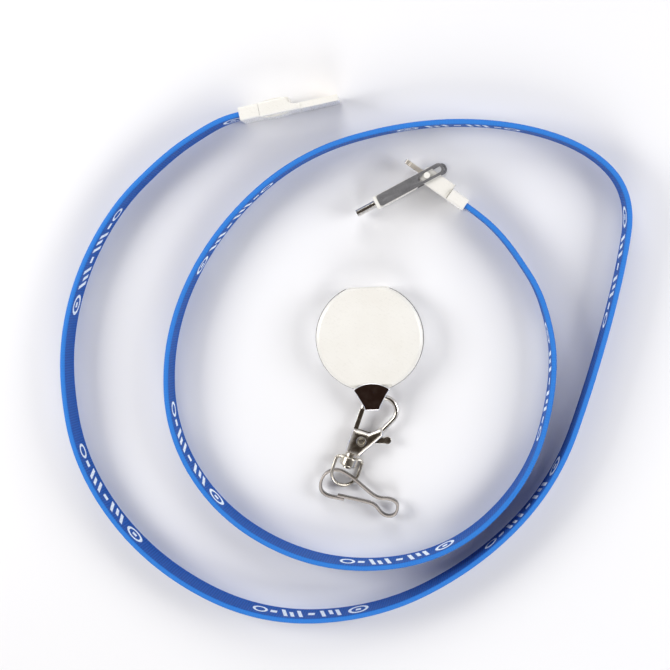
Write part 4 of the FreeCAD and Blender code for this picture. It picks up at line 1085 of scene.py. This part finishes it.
@dataclass
class Studio:
    """The floor, the lights and the camera."""

    eye: Point = (0.0244, 0.0380, 0.4263)
    aim: Point = (-0.0128, 0.0002, 0.0)
    lens: float = 64.8
    floor_half: float = 1.6

    def floor(self) -> None:
        """Lays a pale floor, a little rough so that it takes soft shadows."""
        g = Graph("floor_paper")
        tone = g.spread(g.noise(g.spot(), 3.0, 2.0), 0.3, 0.7, 0.0, 1.0)
        g.feed("Base Color", g.blend(tone, (0.86, 0.86, 0.88), (0.89, 0.89, 0.905)))
        g.fixed(Roughness=0.75)
        Bench.clear()
        bpy.ops.mesh.primitive_plane_add(size=2 * self.floor_half, location=(0, 0, -0.00005))
        plane = bpy.context.object
        plane.name = "floor"
        Bench.settle(plane)
        Bench.wear(plane, g.material)

    def lamp(self, name: str, place: Point, size: float, watts: float, tint: Colour) -> None:
        """Hangs a soft square light that faces the object.

        Args:
            name: the light's name.
            place: where it hangs.
            size: its side.
            watts: its power.
            tint: its colour.
        """
        data = bpy.data.lights.new(name, "AREA")
        data.shape, data.size, data.energy, data.color = "SQUARE", size, watts, tint
        light = bpy.data.objects.new(name, data)
        light.location = place
        light.rotation_euler = (-Vector(place)).to_track_quat("-Z", "Y").to_euler()
        bpy.context.scene.collection.objects.link(light)

    def camera(self) -> None:
        """Sets the camera, almost straight above, with +Y upward in the view."""
        data = bpy.data.cameras.new("camera")
        data.lens = self.lens
        data.sensor_width = 36.0
        data.clip_start, data.clip_end = 0.01, 20.0
        holder = bpy.data.objects.new("camera", data)
        look = (Vector(self.aim) - Vector(self.eye)).normalized()
        right = look.cross(Vector((0, 1, 0))).normalized()
        up = right.cross(look)
        turn = Matrix((right, up, -look)).transposed().to_4x4()
        holder.matrix_world = Matrix.Translation(self.eye) @ turn
        bpy.context.scene.collection.objects.link(holder)
        bpy.context.scene.camera = holder

    def build(self) -> None:
        """Sets the whole studio."""
        scene = bpy.context.scene
        scene.view_settings.view_transform = "Standard"
        scene.view_settings.look = "None"
        world = bpy.data.worlds.new("studio")
        world.use_nodes = True
        tree = world.node_tree
        back = tree.nodes["Background"]
        split = tree.nodes.new("ShaderNodeSeparateXYZ")
        tree.links.new(tree.nodes.new("ShaderNodeTexCoord").outputs["Generated"], split.inputs[0])
        fall = tree.nodes.new("ShaderNodeMapRange")
        fall.interpolation_type = "SMOOTHSTEP"
        for name, value in (("From Min", 0.22), ("From Max", 0.78), ("To Min", 0.0),
                            ("To Max", 1.0)):
            fall.inputs[name].default_value = value
        tree.links.new(split.outputs["Z"], fall.inputs["Value"])
        tint = tree.nodes.new("ShaderNodeMix")
        tint.data_type = "RGBA"
        tree.links.new(fall.outputs["Result"], tint.inputs["Factor"])
        tint.inputs[6].default_value = (0.78, 0.79, 0.81, 1.0)
        tint.inputs[7].default_value = (0.055, 0.04, 0.032, 1.0)
        tree.links.new(tint.outputs[2], back.inputs["Color"])
        back.inputs["Strength"].default_value = 1.0
        scene.world = world
        self.floor()
        self.lamp("left_box", (-0.40, 0.08, 0.30), 0.22, 1.34, (1.0, 0.99, 0.97))
        self.lamp("right_box", (0.42, 0.03, 0.30), 0.26, 1.3, (0.985, 0.99, 1.0))
        self.lamp("near_box", (0.02, -0.44, 0.32), 0.26, 0.95, (1.0, 1.0, 1.0))
        self.lamp("far_box", (-0.05, 0.44, 0.32), 0.26, 0.88, (1.0, 1.0, 1.0))
        self.camera()
        LOG.info("studio: floor, four lights and the camera")


def finishes() -> dict[str, bpy.types.Material]:
    """Builds every finish once.

    Returns:
        The materials by the name that the sub-assemblies use.
    """
    return {
        "webbing": Webbing("webbing_blue").make(),
        "jacket": Rubbery("jacket_black", (0.012, 0.012, 0.014), (0.05, 0.05, 0.052)).make(),
        "white": Moulding("moulding_white", (0.86, 0.845, 0.80), (0.83, 0.81, 0.76)).make(),
        "black": Moulding("moulding_black", (0.012, 0.012, 0.013), (0.02, 0.02, 0.02),
                          rough=0.4).make(),
        "gold": Plated("contact_gold", (0.92, 0.66, 0.26), (0.98, 0.78, 0.42)).make(),
        "board": Board("board_green", (0.008, 0.07, 0.03), (0.25, 0.22, 0.07)).make(),
        "blade": Brushed("blade_satin", (0.90, 0.85, 0.77), (0.66, 0.61, 0.53), Grain.ALONG,
                         35.0, 0.5).make(),
        "shell": Plated("shell_steel", (0.64, 0.62, 0.58), (0.80, 0.78, 0.74), 0.2,
                        0.000004).make(),
        "sleeve": Brushed("sleeve_steel", (0.6, 0.6, 0.61), (0.42, 0.42, 0.43), Grain.UPRIGHT,
                          -28.0).make(),
        "spring": Brushed("spring_steel", (0.55, 0.55, 0.56), (0.36, 0.36, 0.37),
                          Grain.UPRIGHT).make(),
        "grey": Painted("plate_grey", (0.155, 0.155, 0.165), (0.36, 0.36, 0.37)).make(),
        "chrome": Plated("chrome_bright", (0.72, 0.72, 0.73), (0.88, 0.88, 0.89), 0.06).make(),
        # Painted reflection: dark reddish upward faces and bright sides.
        "bail": PaintedReflection("chrome_dark", (0.34, 0.24, 0.22), (0.92, 0.92, 0.94), (0.9, 0.99),
                        (0.3, -0.22)).make(),
        "nickel": Plated("nickel_cast", (0.58, 0.54, 0.46), (0.80, 0.76, 0.69), 0.27,
                         0.00001).make(),
        # Painted reflection: dark olive upward faces and bright borders.
        "plate": PaintedReflection("nickel_plate", (0.36, 0.32, 0.25), (0.84, 0.80, 0.74), (0.93, 0.995),
                         (0.28, -0.04)).make(),
        # Painted reflection: a light upward edge and dark sides.
        "hook": PaintedReflection("hook_steel", (0.76, 0.70, 0.66), (0.14, 0.12, 0.10)).make(),
    }


def main() -> None:
    """Clears the scene, then builds the studio, the strap and the hardware."""
    logging.basicConfig(level=logging.INFO, format="%(name)s: %(message)s")
    for name in ("Cube", "Light", "Camera"):
        if name in bpy.data.objects:
            bpy.data.objects.remove(bpy.data.objects[name])
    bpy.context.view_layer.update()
    materials = finishes()
    Studio().build()
    plugs = [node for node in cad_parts
             if node.split("_")[0] in ("tongue", "blade", "arm", "oval", "pivot", "plate")]
    Strap(materials["webbing"], materials["jacket"]).build(plugs)
    Hardware(materials).build()
    Metalwork(materials).build()


if __name__ == "__main__":
    main()
